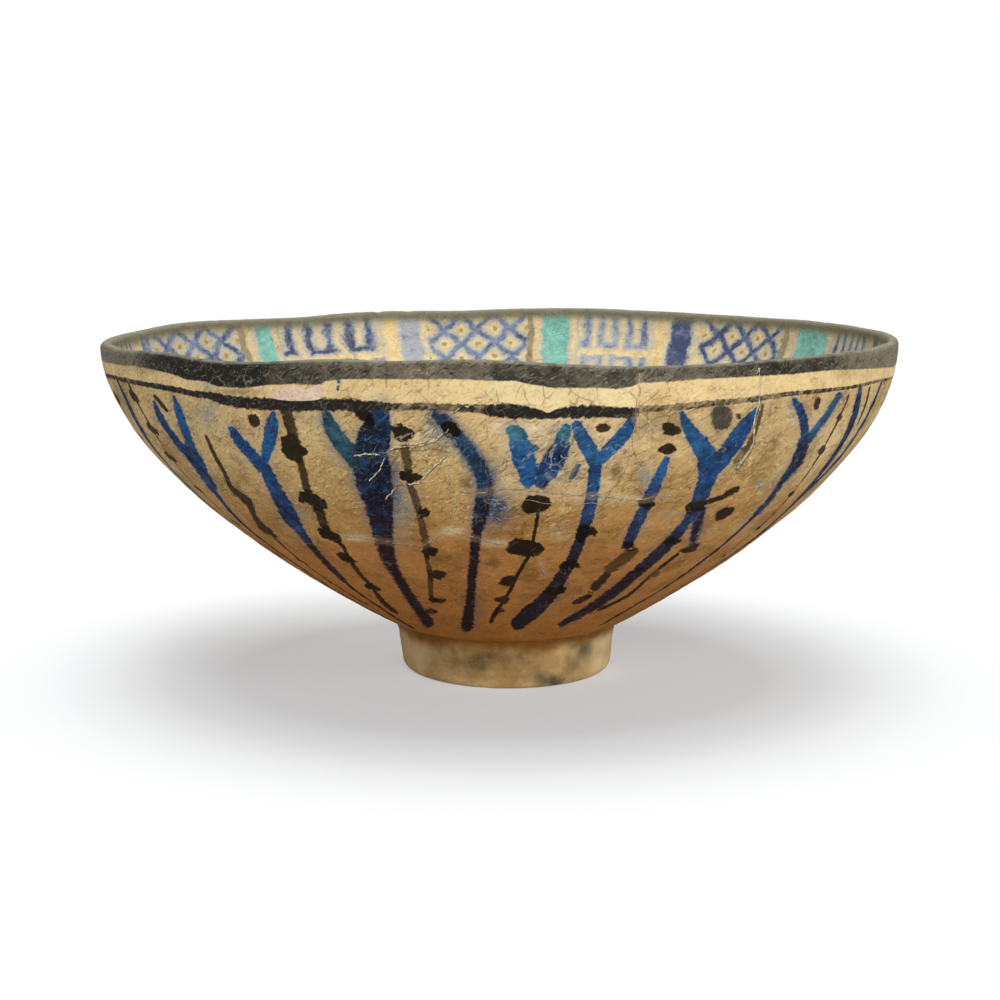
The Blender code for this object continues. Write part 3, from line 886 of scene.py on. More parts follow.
# The inside: seven times the same row of panels, in degrees from the middle of the lattice
PANELS = 7
UNIT = 360 / PANELS
LATTICE_MIDDLE = 184.3
LATTICE_HALF = 9.4
OLIVE_LINE = 10.0
TURQUOISE_BAR = (12.4, 17.2)
FRET = (19.4, 33.0)
BLUE_BAR = (36.9, 40.5)
CREAM_STRIPES = ((10.7, 12.2), (17.6, 18.9), (33.2, 36.6), (40.8, 42.0))
LIP_SHADE = 3.6
PANEL_FOOT = 58.0
LATTICE_PITCH = 10.6
LATTICE_STROKE = 0.95
FRET_PITCH = 4.6
FRET_ROW = 16.5
FRET_TALL = 13.5
FRET_STROKE = 0.85
ROUNDEL = 26.0
# Where the painter's panels stray from even ones, and how dark the blue is: degrees from the back and value
PANEL_DRIFT = (
    (0, 0.0), (22.7, 0.0), (43.1, -6.8), (44.9, -6.4), (48.3, -5.0), (51.9, -6.2), (76, -10.9), (290, 5.4),
    (298, 2.3), (303, 0.9), (320, 2.1), (323, 0.8), (327, 0.4), (340, 0.0), (360, 0.0),
)
PANEL_TONE = (
    (0, 0.6), (13, 0.5), (15, 0.1), (21, 0.1), (27, 0.9), (43, 0.8), (60, 0.7), (180, 0.6), (290, 0.6),
    (310, 0.9), (327, 1.0), (334, 0.35), (345, 0.3), (354, 0.6), (360, 0.6),
)
# How veiled the panels are, in the same way: a warm grey that on the left of the inner wall is painted shade;
# and the radii between which the haze sets in
PANEL_HAZE_AND_SHADE = (
    (30, 0), (46, 0.45), (62, 0.7), (110, 0.6), (160, 0), (250, 0), (285, 0.55), (302, 0.5), (314, 0),
)
HAZE_RADII = (58, 76)


def inside_paint(angle, depth, radius):
    """What each place of the inside carries: depth is measured down the wall from the lip."""
    angle, depth, radius = angle.ravel(), depth.ravel(), radius.ravel()
    marks = plain_marks(len(angle))
    per_degree = radius * pi / 180
    behind = (angle - 180) % 360
    angle = angle + np.interp(behind, *np.transpose(PANEL_DRIFT))
    angle = angle + 0.35 * ripple(angle, depth, 51, 18, 110) / np.maximum(per_degree, 0.3)
    lower = depth + 0.35 * ripple(angle, depth, 52, 18, 110)
    local = (LATTICE_MIDDLE - angle + UNIT / 2) % UNIT - UNIT / 2
    wrapped = local
    local = np.where(local < -LATTICE_HALF, local + UNIT, local)
    x = wrapped * per_degree

    def between(low, high):
        """Distance from an upright stripe, negative inside it."""
        return np.maximum(low - local, local - high) * per_degree

    in_panels = depth - PANEL_FOOT
    lattice = (np.abs(wrapped) - LATTICE_HALF) * per_degree
    slant = LATTICE_PITCH * 0.5**0.5
    one = np.abs((x + lower) / LATTICE_PITCH % 1 - 0.5) * slant
    other = np.abs((x - lower) / LATTICE_PITCH % 1 - 0.5) * slant
    lozenge = np.minimum(one, other)
    net = np.maximum(lozenge - LATTICE_STROKE, lattice)
    seeds = np.maximum(np.hypot(0.5 * slant - one, 0.5 * slant - other) - 0.8, lattice)

    row = (lower + 1.5) % FRET_ROW
    across = (local - FRET[0]) * per_degree
    upright = np.abs(across % FRET_PITCH - FRET_PITCH / 2) - FRET_STROKE
    upright = np.maximum(upright, row - FRET_TALL)
    odd = np.floor(across / FRET_PITCH - 0.5) % 2
    level = np.where(odd == 0, FRET_STROKE, FRET_TALL - FRET_STROKE)
    fret = np.maximum(np.minimum(upright, np.abs(row - level) - FRET_STROKE), between(*FRET))

    blue_bar = between(*BLUE_BAR)
    turquoise = np.maximum(between(*TURQUOISE_BAR), in_panels)
    olive = np.abs((local - OLIVE_LINE) * per_degree) - 0.9
    blue = np.maximum(np.minimum(np.minimum(net, fret), blue_bar), in_panels)
    ring = np.minimum(np.abs(depth - PANEL_FOOT - 1.5) - 0.9, np.abs(depth - PANEL_FOOT - 4.6) - 0.45)
    wave = np.abs(np.cos(np.radians((angle - LATTICE_MIDDLE) * PANELS / 2)))
    petals = np.abs(radius - ROUNDEL * (0.50 + 0.36 * wave)) - 0.8
    leaves = radius - ROUNDEL * (0.16 + 0.24 * wave**3)
    blue = np.minimum(np.minimum(blue, ring), petals)
    heart = np.minimum(turquoise, leaves)
    marks["paint"][:, 0] = np.clip(np.minimum(blue, heart), -FAR, FAR)
    marks["paint"][:, 1] = np.clip(np.maximum(np.minimum(olive, seeds), in_panels), -FAR, FAR)
    marks["paint"][:, 2] = depth
    marks["tint"][:, 0] = np.interp(behind, *np.transpose(PANEL_TONE))
    marks["tint"][:, 1] = 1 / (1 + np.exp(np.clip(2.0 * (heart - blue), -30, 30)))
    marks["tint"][:, 2] = 1.0
    stripes = np.min([between(low, high) for low, high in CREAM_STRIPES], axis=0)
    light = np.where(lattice < 0, (lozenge - LATTICE_STROKE - 0.45) / 0.8, 0.0)
    light = np.maximum(light, -stripes / 0.9 + 0.5)
    light = np.maximum(light, np.where(between(*FRET) < 0, (fret - 0.3) / 0.9, 0.0))
    below = np.clip((depth - PANEL_FOOT) / 2, 0, 1)
    marks["wear"][:, 1] = np.clip(light, 0, 1) * (1 - below) + 0.8 * below
    marks["wear"][:, 2] = 0.8
    haze_and_shade = np.interp(behind, *np.transpose(PANEL_HAZE_AND_SHADE))
    marks["cast"][:, 0] = haze_and_shade * np.interp(radius, HAZE_RADII, (0, 1))
    marks["edge"][:, 1] = depth + LIP / 2
    return marks


def ripple(angle, arc, seed, waves=26, finest=30):
    """A gentle unevenness round the bowl, between about -1 and 1."""
    rng = np.random.default_rng(seed)
    total = np.zeros(np.shape(angle))
    for _ in range(waves):
        turns = rng.integers(1, finest)
        rise = rng.uniform(-finest, finest) / WALL_LENGTH
        phase = rng.uniform(0, 2 * pi)
        total += np.sin(np.radians(angle) * turns + arc * rise + phase)
    return total / waves**0.5


def push(points, normals, distance):
    """Move points along their normals."""
    return points + normals * distance[..., None]


def lifted(points, angle, arc):
    """Move the wall up or down with the wavy rim."""
    moved = points.copy()
    moved[..., 2] += rise_of_rim(angle, arc)
    return moved


def base_break_arc(angle):
    """How far up the wall the break round the base lies, with its ragged edge."""
    corners = np.array([(a % 360, arc_at_radius(share * BREAK_RADIUS)) for a, share in BASE_BREAK.values()])
    corners = corners[np.argsort(corners[:, 0])]
    level = np.interp(angle % 360, corners[:, 0], corners[:, 1], period=360)
    return level + LEVEL_RAG * ripple(angle, 0.0, 3, 14, 90)


def rim_break_angle(index, arc):
    """The angle of a break at a distance up the wall, with its ragged edge."""
    root, half_way, rim, _ = RIM_BREAKS[index]
    root_angle = BASE_BREAK[root][0]
    start = base_break_arc(np.array(float(root_angle)))
    middle = arc_at_radius((BASE_BREAK[root][1] * BREAK_RADIUS + WIDEST_RADIUS) / 2)
    straight = np.interp(arc, [start, middle, WALL_LENGTH], [root_angle, half_way, rim])
    fade = np.clip((arc - start) / 4, 0, 1)
    return straight + UPRIGHT_RAG * fade * ripple(arc * 3.1, 0.0, 20 + index, 10, 40)


def spaced(length, cell):
    """Shares from 0 to 1 at the mesh's fineness, with finer steps next to both ends."""
    count = max(int(length / cell), 4)
    inner = np.linspace(0, 1, count + 1)[1:-1]
    close = np.array(CLOSE_STEPS) / length
    return np.concatenate([[0.0], close, inner, 1 - close[::-1], [1.0]])


def sherd_patch(index):
    """Angles and wall distances over one sherd, with the distance to its nearest break."""
    following = (index + 1) % len(RIM_BREAKS)
    first, second = RIM_BREAKS[index], RIM_BREAKS[following]
    turn = 360 if BASE_BREAK[second[0]][0] < BASE_BREAK[first[0]][0] else 0
    root_1 = float(BASE_BREAK[first[0]][0])
    root_2 = float(BASE_BREAK[second[0]][0] + turn)
    arc_1 = base_break_arc(np.array(root_1))
    arc_2 = base_break_arc(np.array(root_2))
    width = radians(second[2] + turn - first[2]) * WIDEST_RADIUS
    tall = WALL_LENGTH - min(arc_1, arc_2)
    u, v = spaced(width, SHERD_CELL), spaced(tall, SHERD_CELL)
    bottom_angle = root_1 + (root_2 - root_1) * u
    bottom = np.stack([bottom_angle, base_break_arc(bottom_angle)], axis=-1)
    top = np.stack([first[2] + (second[2] + turn - first[2]) * u, np.full(len(u), WALL_LENGTH)], axis=-1)
    left_arc = arc_1 + (WALL_LENGTH - arc_1) * v
    right_arc = arc_2 + (WALL_LENGTH - arc_2) * v
    left = np.stack([rim_break_angle(index, left_arc), left_arc], axis=-1)
    right = np.stack([rim_break_angle(following, right_arc) + turn, right_arc], axis=-1)
    bottom[0], bottom[-1], top[0], top[-1] = left[0], right[0], left[-1], right[-1]
    uu, vv = u[None, :, None], v[:, None, None]
    patch = (
        (1 - vv) * bottom[None] + vv * top[None] + (1 - uu) * left[:, None] + uu * right[:, None]
        - (1 - uu) * (1 - vv) * bottom[0] - uu * (1 - vv) * bottom[-1]
        - (1 - uu) * vv * top[0] - uu * vv * top[-1]
    )
    angle, arc = patch[..., 0], patch[..., 1]
    angle = angle + np.degrees(JOIN / 2 / wall_at(arc)[0]) * (1 - 2 * u[None, :])
    arc = arc + JOIN / 2 * (1 - v[:, None])
    edge = np.minimum(np.minimum(u, 1 - u)[None, :] * width, v[:, None] * tall)
    return angle, arc, edge


def edge_round(edge):
    """How far the surface drops next to a break."""
    return -EDGE_DROP * np.exp(-((edge / EDGE_REACH) ** 2))


def make_mesh(name, points, faces, materials, slots=None, sharp=50):
    """A mesh object from millimetre points, shaded smooth up to an angle."""
    mesh = bpy.data.meshes.new(name)
    mesh.from_pydata((np.reshape(points, (-1, 3)) * MM).tolist(), [], faces)
    for material in materials:
        mesh.materials.append(material)
    mesh.polygons.foreach_set("material_index", slots or [0] * len(faces))
    work = bmesh.new()
    work.from_mesh(mesh)
    bmesh.ops.recalc_face_normals(work, faces=work.faces)
    work.to_mesh(mesh)
    work.free()
    mesh.shade_smooth()
    mesh.set_sharp_from_angle(angle=radians(sharp))
    obj = bpy.data.objects.new(name, mesh)
    bpy.context.scene.collection.objects.link(obj)
    return obj


def store(obj, marks):
    """Keep what each point carries as attributes for the materials."""
    for name, values in marks.items():
        layer = obj.data.attributes.new(name, "FLOAT_VECTOR", "POINT")
        layer.data.foreach_set("vector", np.ascontiguousarray(values, np.float32).ravel())


def lay_out(obj, rows, columns, sheet_faces, closed=False):
    """A flat map of the piece: its sheet of rows and columns, and its other faces in a narrow strip."""
    mesh = obj.data
    layer = mesh.uv_layers.new(name="OFBake")
    corners = np.empty(len(mesh.loops), np.int32)
    mesh.loops.foreach_get("vertex_index", corners)
    sizes = np.empty(len(mesh.polygons), np.int32)
    mesh.polygons.foreach_get("loop_total", sizes)
    face = np.repeat(np.arange(len(sizes)), sizes)
    first = np.concatenate([[0], np.cumsum(sizes)[:-1]])
    row, column = np.divmod(corners, columns)
    across = columns if closed else columns - 1
    if closed:
        last = (face % columns == columns - 1) & (column == 0)
        column = np.where(last, columns, column)
    margin, inner = 0.004, 0.992
    flat = np.stack([margin + inner * column / across, 0.02 + 0.95 * row / (rows - 1)], axis=-1)
    extra = face >= sheet_faces
    count = max(len(sizes) - sheet_faces, 1)
    turn = 2 * pi * (np.arange(len(corners)) - first[face]) / sizes[face]
    middle = margin + inner * (face - sheet_faces + 0.5) / count
    aside = np.stack([middle + 0.4 / count * np.cos(turn), 0.985 + 0.008 * np.sin(turn)], axis=-1)
    flat[extra] = aside[extra]
    layer.data.foreach_set("uv", flat.astype(np.float32).ravel())


def grid_faces(rows, columns, closed=False):
    """Four-sided faces of a sheet of points."""
    index = np.arange(rows * columns).reshape(rows, columns)
    if closed:
        index = np.concatenate([index, index[:, :1]], axis=1)
    faces = np.stack([index[:-1, :-1], index[:-1, 1:], index[1:, 1:], index[1:, :-1]], axis=-1)
    return faces.reshape(-1, 4).tolist()


def lip_rows(outer, inner):
    """Rows of points over the lip from its outer to its inner edge."""
    middle = (outer + inner) / 2
    half = np.linalg.norm(outer - inner, axis=-1, keepdims=True) / 2
    turns = [pi * step / LIP_ROWS for step in range(1, LIP_ROWS)]
    up = np.array([0.0, 0.0, 1.0])
    return np.array([middle + (outer - middle) * cos(turn) + half * sin(turn) * up for turn in turns])


def joined(*stretches):
    """Put the marks of several stretches of a piece one after another."""
    return {name: np.concatenate([marks[name] for marks in stretches]) for name in NO_MARKS}


FILL_LOOP = smooth_path(FILL_OUTLINE, 5, closed=True)


def fill_pocket(points, normals):
    """Where the wall is chipped away under the plaster."""
    facing = np.einsum("...j,...j->...", normals, np.array(CAMERA_PLACE) - points) > 0
    depth = np.zeros(facing.shape)
    depth[facing] = from_outline(to_photo(points[facing]), FILL_LOOP) < -FILL_INSET
    return -FILL_DEPTH * depth


def turning_marks(angle, arc, seed, fine):
    """The uneven turning of a face, with a fine ripple over a coarse one."""
    return 0.10 * ripple(angle, arc, seed) + fine * ripple(angle, arc, seed + 1, 40, 160)


outer_relief = partial(turning_marks, seed=5, fine=0.035)
inner_relief = partial(turning_marks, seed=8, fine=0.03)


def sherd(index, materials):
    """One sherd of the wall: its outside, its lip, its inside and its breaks."""
    name = RIM_BREAKS[index][3]
    angle, arc, edge = sherd_patch(index)
    rows, columns = angle.shape
    normals = wall_normals(angle, arc)
    proud = PROUD.get(name, 0.0) * np.clip((WALL_LENGTH - arc) / 6, 0.3, 1)
    outer = lifted(wall_point(angle, arc), angle, arc)
    pocket = fill_pocket(outer, normals) if name == "front_left_sherd" else 0.0
    outer = push(outer, normals, proud + outer_relief(angle, arc) + edge_round(edge) + pocket)
    inner = lifted(wall_point(angle, arc, wall_thickness(arc)), angle, arc)
    inner = push(inner, normals, proud + inner_relief(angle, arc) - edge_round(edge))
    lip = lip_rows(outer[-1], inner[-1])
    lip_angle = np.repeat(angle[-1:], LIP_ROWS - 1, axis=0)
    lip[..., 2] -= CHIP_DEPTH * np.clip(ripple(lip_angle, 0.0, 11, 30, 120) - CHIP_FROM, 0, 2)
    sheet = np.concatenate([outer, lip, inner[::-1]])
    total = len(sheet)

    faces = grid_faces(total, columns)
    sheet_faces = len(faces)
    outside_rows = rows + LIP_ROWS // 2
    slots = [0 if face // (columns - 1) < outside_rows else 1 for face in range(sheet_faces)]
    at = np.arange(total * columns).reshape(total, columns).tolist()
    last = total - 1
    for side in (0, columns - 1):
        for row in range(rows - 1):
            faces.append([at[row][side], at[row + 1][side], at[last - row - 1][side], at[last - row][side]])
        faces.append([at[row][side] for row in range(rows - 1, rows + LIP_ROWS)])
    for column in range(columns - 1):
        faces.append([at[0][column], at[0][column + 1], at[last][column + 1], at[last][column]])
    slots += [2] * (len(faces) - sheet_faces)
    obj = make_mesh(name + "_painted", sheet, faces, materials, slots)

    radius, depth = wall_at(arc)[0] - WALL, WALL_LENGTH - arc
    outside = outside_paint(outer, normals, angle, arc)
    over = plain_marks(lip[..., 0].size)
    over["paint"][:, 2] = -FAR
    over["line"][:] = np.tile(outside["line"].reshape(rows, columns, 3)[-1], (LIP_ROWS - 1, 1))
    rise = np.sin(pi * np.arange(1, LIP_ROWS) / LIP_ROWS)
    over["edge"][:, 1] = np.repeat(LIP / 2 * (1 - rise), columns)
    inside = inside_paint(angle[::-1], depth[::-1], radius[::-1])
    inside["line"][:, 2] = np.tile(outside["line"].reshape(rows, columns, 3)[-1, :, 2], rows)
    marks = joined(outside, over, inside)
    lip_edge = np.repeat(edge[-1:], LIP_ROWS - 1, axis=0)
    marks["edge"][:, 0] = np.concatenate([edge.ravel(), lip_edge.ravel(), edge[::-1].ravel()])
    store(obj, marks)
    lay_out(obj, total, columns, sheet_faces)
    return obj


def base(materials):
    """The floor and lower wall in one piece."""
    front = np.arange(-FRONT_REACH, FRONT_REACH, FRONT_STEP)
    behind = np.arange(FRONT_REACH, 360 - FRONT_REACH - BACK_STEP / 2, BACK_STEP)
    angle = np.concatenate([front, behind])
    columns = len(angle)
    break_arc = base_break_arc(angle) - JOIN / 2
    up = spaced(float(break_arc.max()), BASE_CELL)
    arc = break_arc[None, :] * up[:, None]
    angles = np.tile(angle, (len(up), 1))
    edge = break_arc[None, :] - arc
    normals = wall_normals(angles, arc)
    settled = np.clip(arc / 5, 0, 1)
    outer = lifted(wall_point(angles, arc), angles, arc)
    outer = push(outer, normals, outer_relief(angles, arc) * settled + edge_round(edge))

    down = spaced(float(break_arc.max()) - FLOOR_CORNER, INSIDE_CELL)[::-1]
    inner_arc = FLOOR_CORNER + (break_arc - FLOOR_CORNER)[None, :] * down[:, None]
    inner_angles = np.tile(angle, (len(down), 1))
    inner_edge = break_arc[None, :] - inner_arc
    inner = lifted(wall_point(inner_angles, inner_arc, WALL), inner_angles, inner_arc)
    inner_push = inner_relief(inner_angles, inner_arc) - edge_round(inner_edge)
    inner = push(inner, wall_normals(inner_angles, inner_arc), inner_push)
    middle = np.array([lean_at(FOOT_HEIGHT + FLOOR), 0.0, FOOT_HEIGHT + FLOOR])
    corner = inner[-1]
    level = corner.copy()
    level[:, 2] = middle[2]
    run = corner - inner[-6]
    knee = corner + run / np.linalg.norm(run, axis=-1, keepdims=True) * CORNER_REACH
    inward = middle + (level - middle) * 0.72
    t = np.linspace(0, 1, FLOOR_ROWS + 2)[1:-1, None, None]
    floor = bezier(t, corner, knee, inward, middle)
    under_radius = np.repeat(np.linspace(2.0, FOOT_TOP_RADIUS - 0.3, UNDER_ROWS)[:, None], columns, axis=1)
    under = round_axis(np.tile(angle, (UNDER_ROWS, 1)), under_radius, np.full_like(under_radius, FOOT_HEIGHT))
    sheet = np.concatenate([under, outer, inner, floor])
    total = len(sheet)
    points = np.vstack([sheet.reshape(-1, 3), [[lean_at(FOOT_HEIGHT), 0.0, FOOT_HEIGHT]], middle[None]])
    faces = grid_faces(total, columns, closed=True)
    sheet_faces = len(faces)
    out_rows = len(under) + len(outer) - 1
    row_slots = [0] * out_rows + [2] + [1] * (total - 2 - out_rows)
    slots = np.repeat(row_slots, columns).tolist()
    bottom, top = total * columns, total * columns + 1
    for column in range(columns):
        after = (column + 1) % columns
        faces.append([bottom, column, after])
        faces.append([(total - 1) * columns + column, top, (total - 1) * columns + after])
        slots += [0, 1]
    obj = make_mesh("base_painted", points, faces, materials, slots)

    outside = outside_paint(outer, normals, angles, arc)
    bowl = np.concatenate([inner, floor])
    bowl_radius = np.hypot(bowl[..., 0] - lean_at(bowl[..., 2]), bowl[..., 1])
    step = np.linalg.norm(np.diff(bowl, axis=0), axis=-1)
    bowl_depth = WALL_LENGTH - inner_arc[:1] + np.vstack([np.zeros((1, columns)), np.cumsum(step, axis=0)])
    inside = inside_paint(np.tile(angle, (len(bowl), 1)), bowl_depth, bowl_radius)
    marks = joined(plain_marks(under[..., 0].size), outside, inside, plain_marks(2))
    start = under[..., 0].size
    marks["edge"][start:start + edge.size, 0] = edge.ravel()
    start += edge.size
    marks["edge"][start:start + inner_edge.size, 0] = inner_edge.ravel()
    store(obj, marks)
    lay_out(obj, total, columns, sheet_faces, closed=True)
    return obj


def foot_outline():
    """The foot ring's section: its cove on the wall, its outside, its standing edge and its inside."""
    inner = FOOT_BOTTOM_RADIUS - FOOT_WIDTH
    top = FOOT_HEIGHT - 0.06
    reach = np.linspace(COVE_REACH, 0.0, 8)
    radius, height, out_r, out_z = wall_at(reach)
    wall = np.stack([radius + 0.04 * out_r, height + 0.04 * out_z], axis=-1)
    cove_start = wall[0]
    cove_end = np.array([FOOT_TOP_RADIUS - 0.35, FOOT_HEIGHT - COVE_DEPTH])
    knee = np.array([FOOT_TOP_RADIUS - 0.05, FOOT_HEIGHT - 0.1])
    t = np.linspace(0, 1, 14)[1:, None]
    cove = bezier(t, cove_start, knee, cove_end)
    round_from = np.array([FOOT_BOTTOM_RADIUS + 0.35, EDGE_WEAR])
    round_to = np.array([FOOT_BOTTOM_RADIUS - 1.6, 0.0])
    side = cove_end + (round_from - cove_end) * np.linspace(0, 1, 9)[1:, None]
    toe = np.array([FOOT_BOTTOM_RADIUS + 0.25, 0.0])
    rounded = bezier(t, round_from, toe, round_to)
    flat = np.stack([np.linspace(round_to[0], inner + 1.2, 6)[1:], np.zeros(5)], axis=-1)
    back = np.array([(inner + 0.3, 0.4)] + [(inner, z) for z in np.linspace(1.4, top, 9)])
    lid = np.stack([np.linspace(inner, FOOT_TOP_RADIUS, 6)[1:-1], np.full(4, top)], axis=-1)
    return np.concatenate([cove_start[None], cove, side, rounded, flat, back, lid, wall[::-1][:-1]])


def foot_ring(material):
    """The foot ring, turned, with a cove where it meets the bowl and a worn standing edge."""
    radius, height = foot_outline().T
    angle = np.linspace(-180, 180, FOOT_COLUMNS, endpoint=False)
    angles = np.tile(angle, (len(radius), 1))
    high = np.repeat(height[:, None], FOOT_COLUMNS, axis=1)
    uneven = 0.12 * ripple(angles, high * 3, 31) + 0.05 * ripple(angles, high * 6, 32, 40, 120)
    free = np.clip(high / 1.5, 0, 1) * np.clip((FOOT_HEIGHT - 0.5 - high) / 2, 0, 1)
    way = np.where(radius > FOOT_BOTTOM_RADIUS - FOOT_WIDTH * 0.6, 1.0, -1.0)[:, None]
    wide = radius[:, None] + uneven * free * way
    sheet = round_axis(angles, wide, high)
    faces = grid_faces(len(radius), FOOT_COLUMNS, closed=True)
    last = (len(radius) - 1) * FOOT_COLUMNS
    for column in range(FOOT_COLUMNS):
        after = (column + 1) % FOOT_COLUMNS
        faces.append([last + column, last + after, after, column])
    points = sheet.reshape(-1, 3)
    ring = make_mesh("foot_ring_turned", points, faces, [material], sharp=70)
    cast = np.zeros_like(points)
    spots = to_photo(points)
    front = np.clip(-points[:, 1] / 8, 0, 1)
    for column, name in ((0, "foot_grey"), (1, "foot_painted_light"), (2, "foot_brown")):
        lay_patches(cast, column, name, spots, front)
    store(ring, {"cast": cast})
    return ring


def plaster_fill(material):
    """The lump of tinted plaster that fills a chip under the rim."""
    loop = smooth_path(FILL_OUTLINE, 9, closed=True)[:-1]
    turns = len(loop)
    angle, arc = seen_on_wall(loop)
    middle_angle, middle_arc = angle.mean(), arc.mean()
    share = np.concatenate([[1.0, 0.985, 0.95], np.linspace(0.9, 0.06, 13)])[:, None]
    angles = middle_angle + (angle - middle_angle)[None, :] * share
    arcs = middle_arc + (arc - middle_arc)[None, :] * share
    normals = wall_normals(angles, arcs)
    lumps = 0.05 * ripple(angles * 9, arcs * 4, 41, 20, 14) * (1 - share)
    crown = outer_relief(angles, arcs) + 0.015 + 0.10 * (1 - share**6) + lumps
    surface = lifted(wall_point(angles, arcs), angles, arcs)
    front = push(surface, normals, crown)
    shrunk = middle_angle + (angles - middle_angle) * 0.9, middle_arc + (arcs - middle_arc) * 0.9
    back = push(lifted(wall_point(*shrunk), *shrunk), normals, np.full(angles.shape, FILL_BED - FILL_DEPTH))
    sheet = np.concatenate([front[::-1], back])
    faces = grid_faces(len(sheet), turns, closed=True)
    last = (len(sheet) - 1) * turns
    faces.append(list(range(turns)))
    faces.append([last + column for column in range(turns)])
    return make_mesh("plaster_fill_pressed", sheet, faces, [material], sharp=80)


def linear(code):
    """A colour socket's value from an sRGB hex code."""
    parts = [int(code[place:place + 2], 16) / 255 for place in (1, 3, 5)]
    return (*[p / 12.92 if p <= 0.04045 else ((p + 0.055) / 1.055) ** 2.4 for p in parts], 1.0)


def every(size):
    """A texture's scale for a pattern that repeats every so many millimetres."""
    return 1 / (size * MM)


# Kinds of node: type, output, the inputs in the order they are given, and settings
SPOT = ("ShaderNodeTexCoord", "Object", (), {})
SLANTED = ("ShaderNodeMapping", 0, ("Vector", "Location", "Rotation", "Scale"), {"vector_type": "TEXTURE"})
CLOUDS = ("ShaderNodeTexNoise", "Fac", ("Vector", "Scale", "Detail", "Roughness", "Distortion"), {})
SHIFTS = ("ShaderNodeTexNoise", "Color", ("Vector", "Scale", "Detail"), {})
WEB = ("ShaderNodeTexVoronoi", "Distance", ("Vector", "Scale"), {"feature": "DISTANCE_TO_EDGE"})
PARTS = ("ShaderNodeSeparateXYZ", "X", (0,), {})
PAIR = ("ShaderNodeCombineXYZ", 0, (0, 1), {})
REACH = ("ShaderNodeVectorMath", "Value", (0,), {"operation": "LENGTH"})
MOVED = ("ShaderNodeVectorMath", 0, (0, 1, 2), {"operation": "MULTIPLY_ADD"})
COAT = ("ShaderNodeMix", 2, (0, 6, 7), {"data_type": "RGBA"})
STEP = ("ShaderNodeMapRange", 0, (0, 1, 2, 3, 4), {"interpolation_type": "SMOOTHSTEP"})
SLOPE = ("ShaderNodeMapRange", 0, (0, 1, 2, 3, 4), {})
PLUS = ("ShaderNodeMath", 0, (0, 1), {"operation": "ADD"})
MINUS = ("ShaderNodeMath", 0, (0, 1), {"operation": "SUBTRACT"})
TIMES = ("ShaderNodeMath", 0, (0, 1), {"operation": "MULTIPLY"})
BY = ("ShaderNodeMath", 0, (0, 1), {"operation": "DIVIDE"})
MORE = ("ShaderNodeMath", 0, (0, 1), {"operation": "MAXIMUM"})
SIZE = ("ShaderNodeMath", 0, (0,), {"operation": "ABSOLUTE"})
SPREAD = ("ShaderNodeMath", 0, (0, 1, 2), {"operation": "MULTIPLY_ADD"})
RELIEF = ("ShaderNodeBump", "Normal", ("Strength", "Distance", "Height"), {})


def fill(tree, node, values):
    """Fill inputs of a node with links, hex codes of colours or plain values."""
    for socket, value in values.items():
        if isinstance(value, bpy.types.NodeSocket):
            tree.links.new(value, node.inputs[socket])
        else:
            node.inputs[socket].default_value = linear(value) if isinstance(value, str) else value


def add_node(tree, kind, *values):
    """Add a node with its settings, fill its inputs in order, and return one output."""
    name, out, sockets, settings = kind
    node = tree.nodes.new(name)
    for setting, value in settings.items():
        setattr(node, setting, value)
    fill(tree, node, dict(zip(sockets, values)))
    return node.outputs[out]


def new_material(name):
    """An empty Principled material, a way to add its nodes and a way to fill its shader."""
    material = bpy.data.materials.new(name)
    material.use_nodes = True
    tree = material.node_tree
    return material, partial(add_node, tree), partial(fill, tree, tree.nodes["Principled BSDF"])


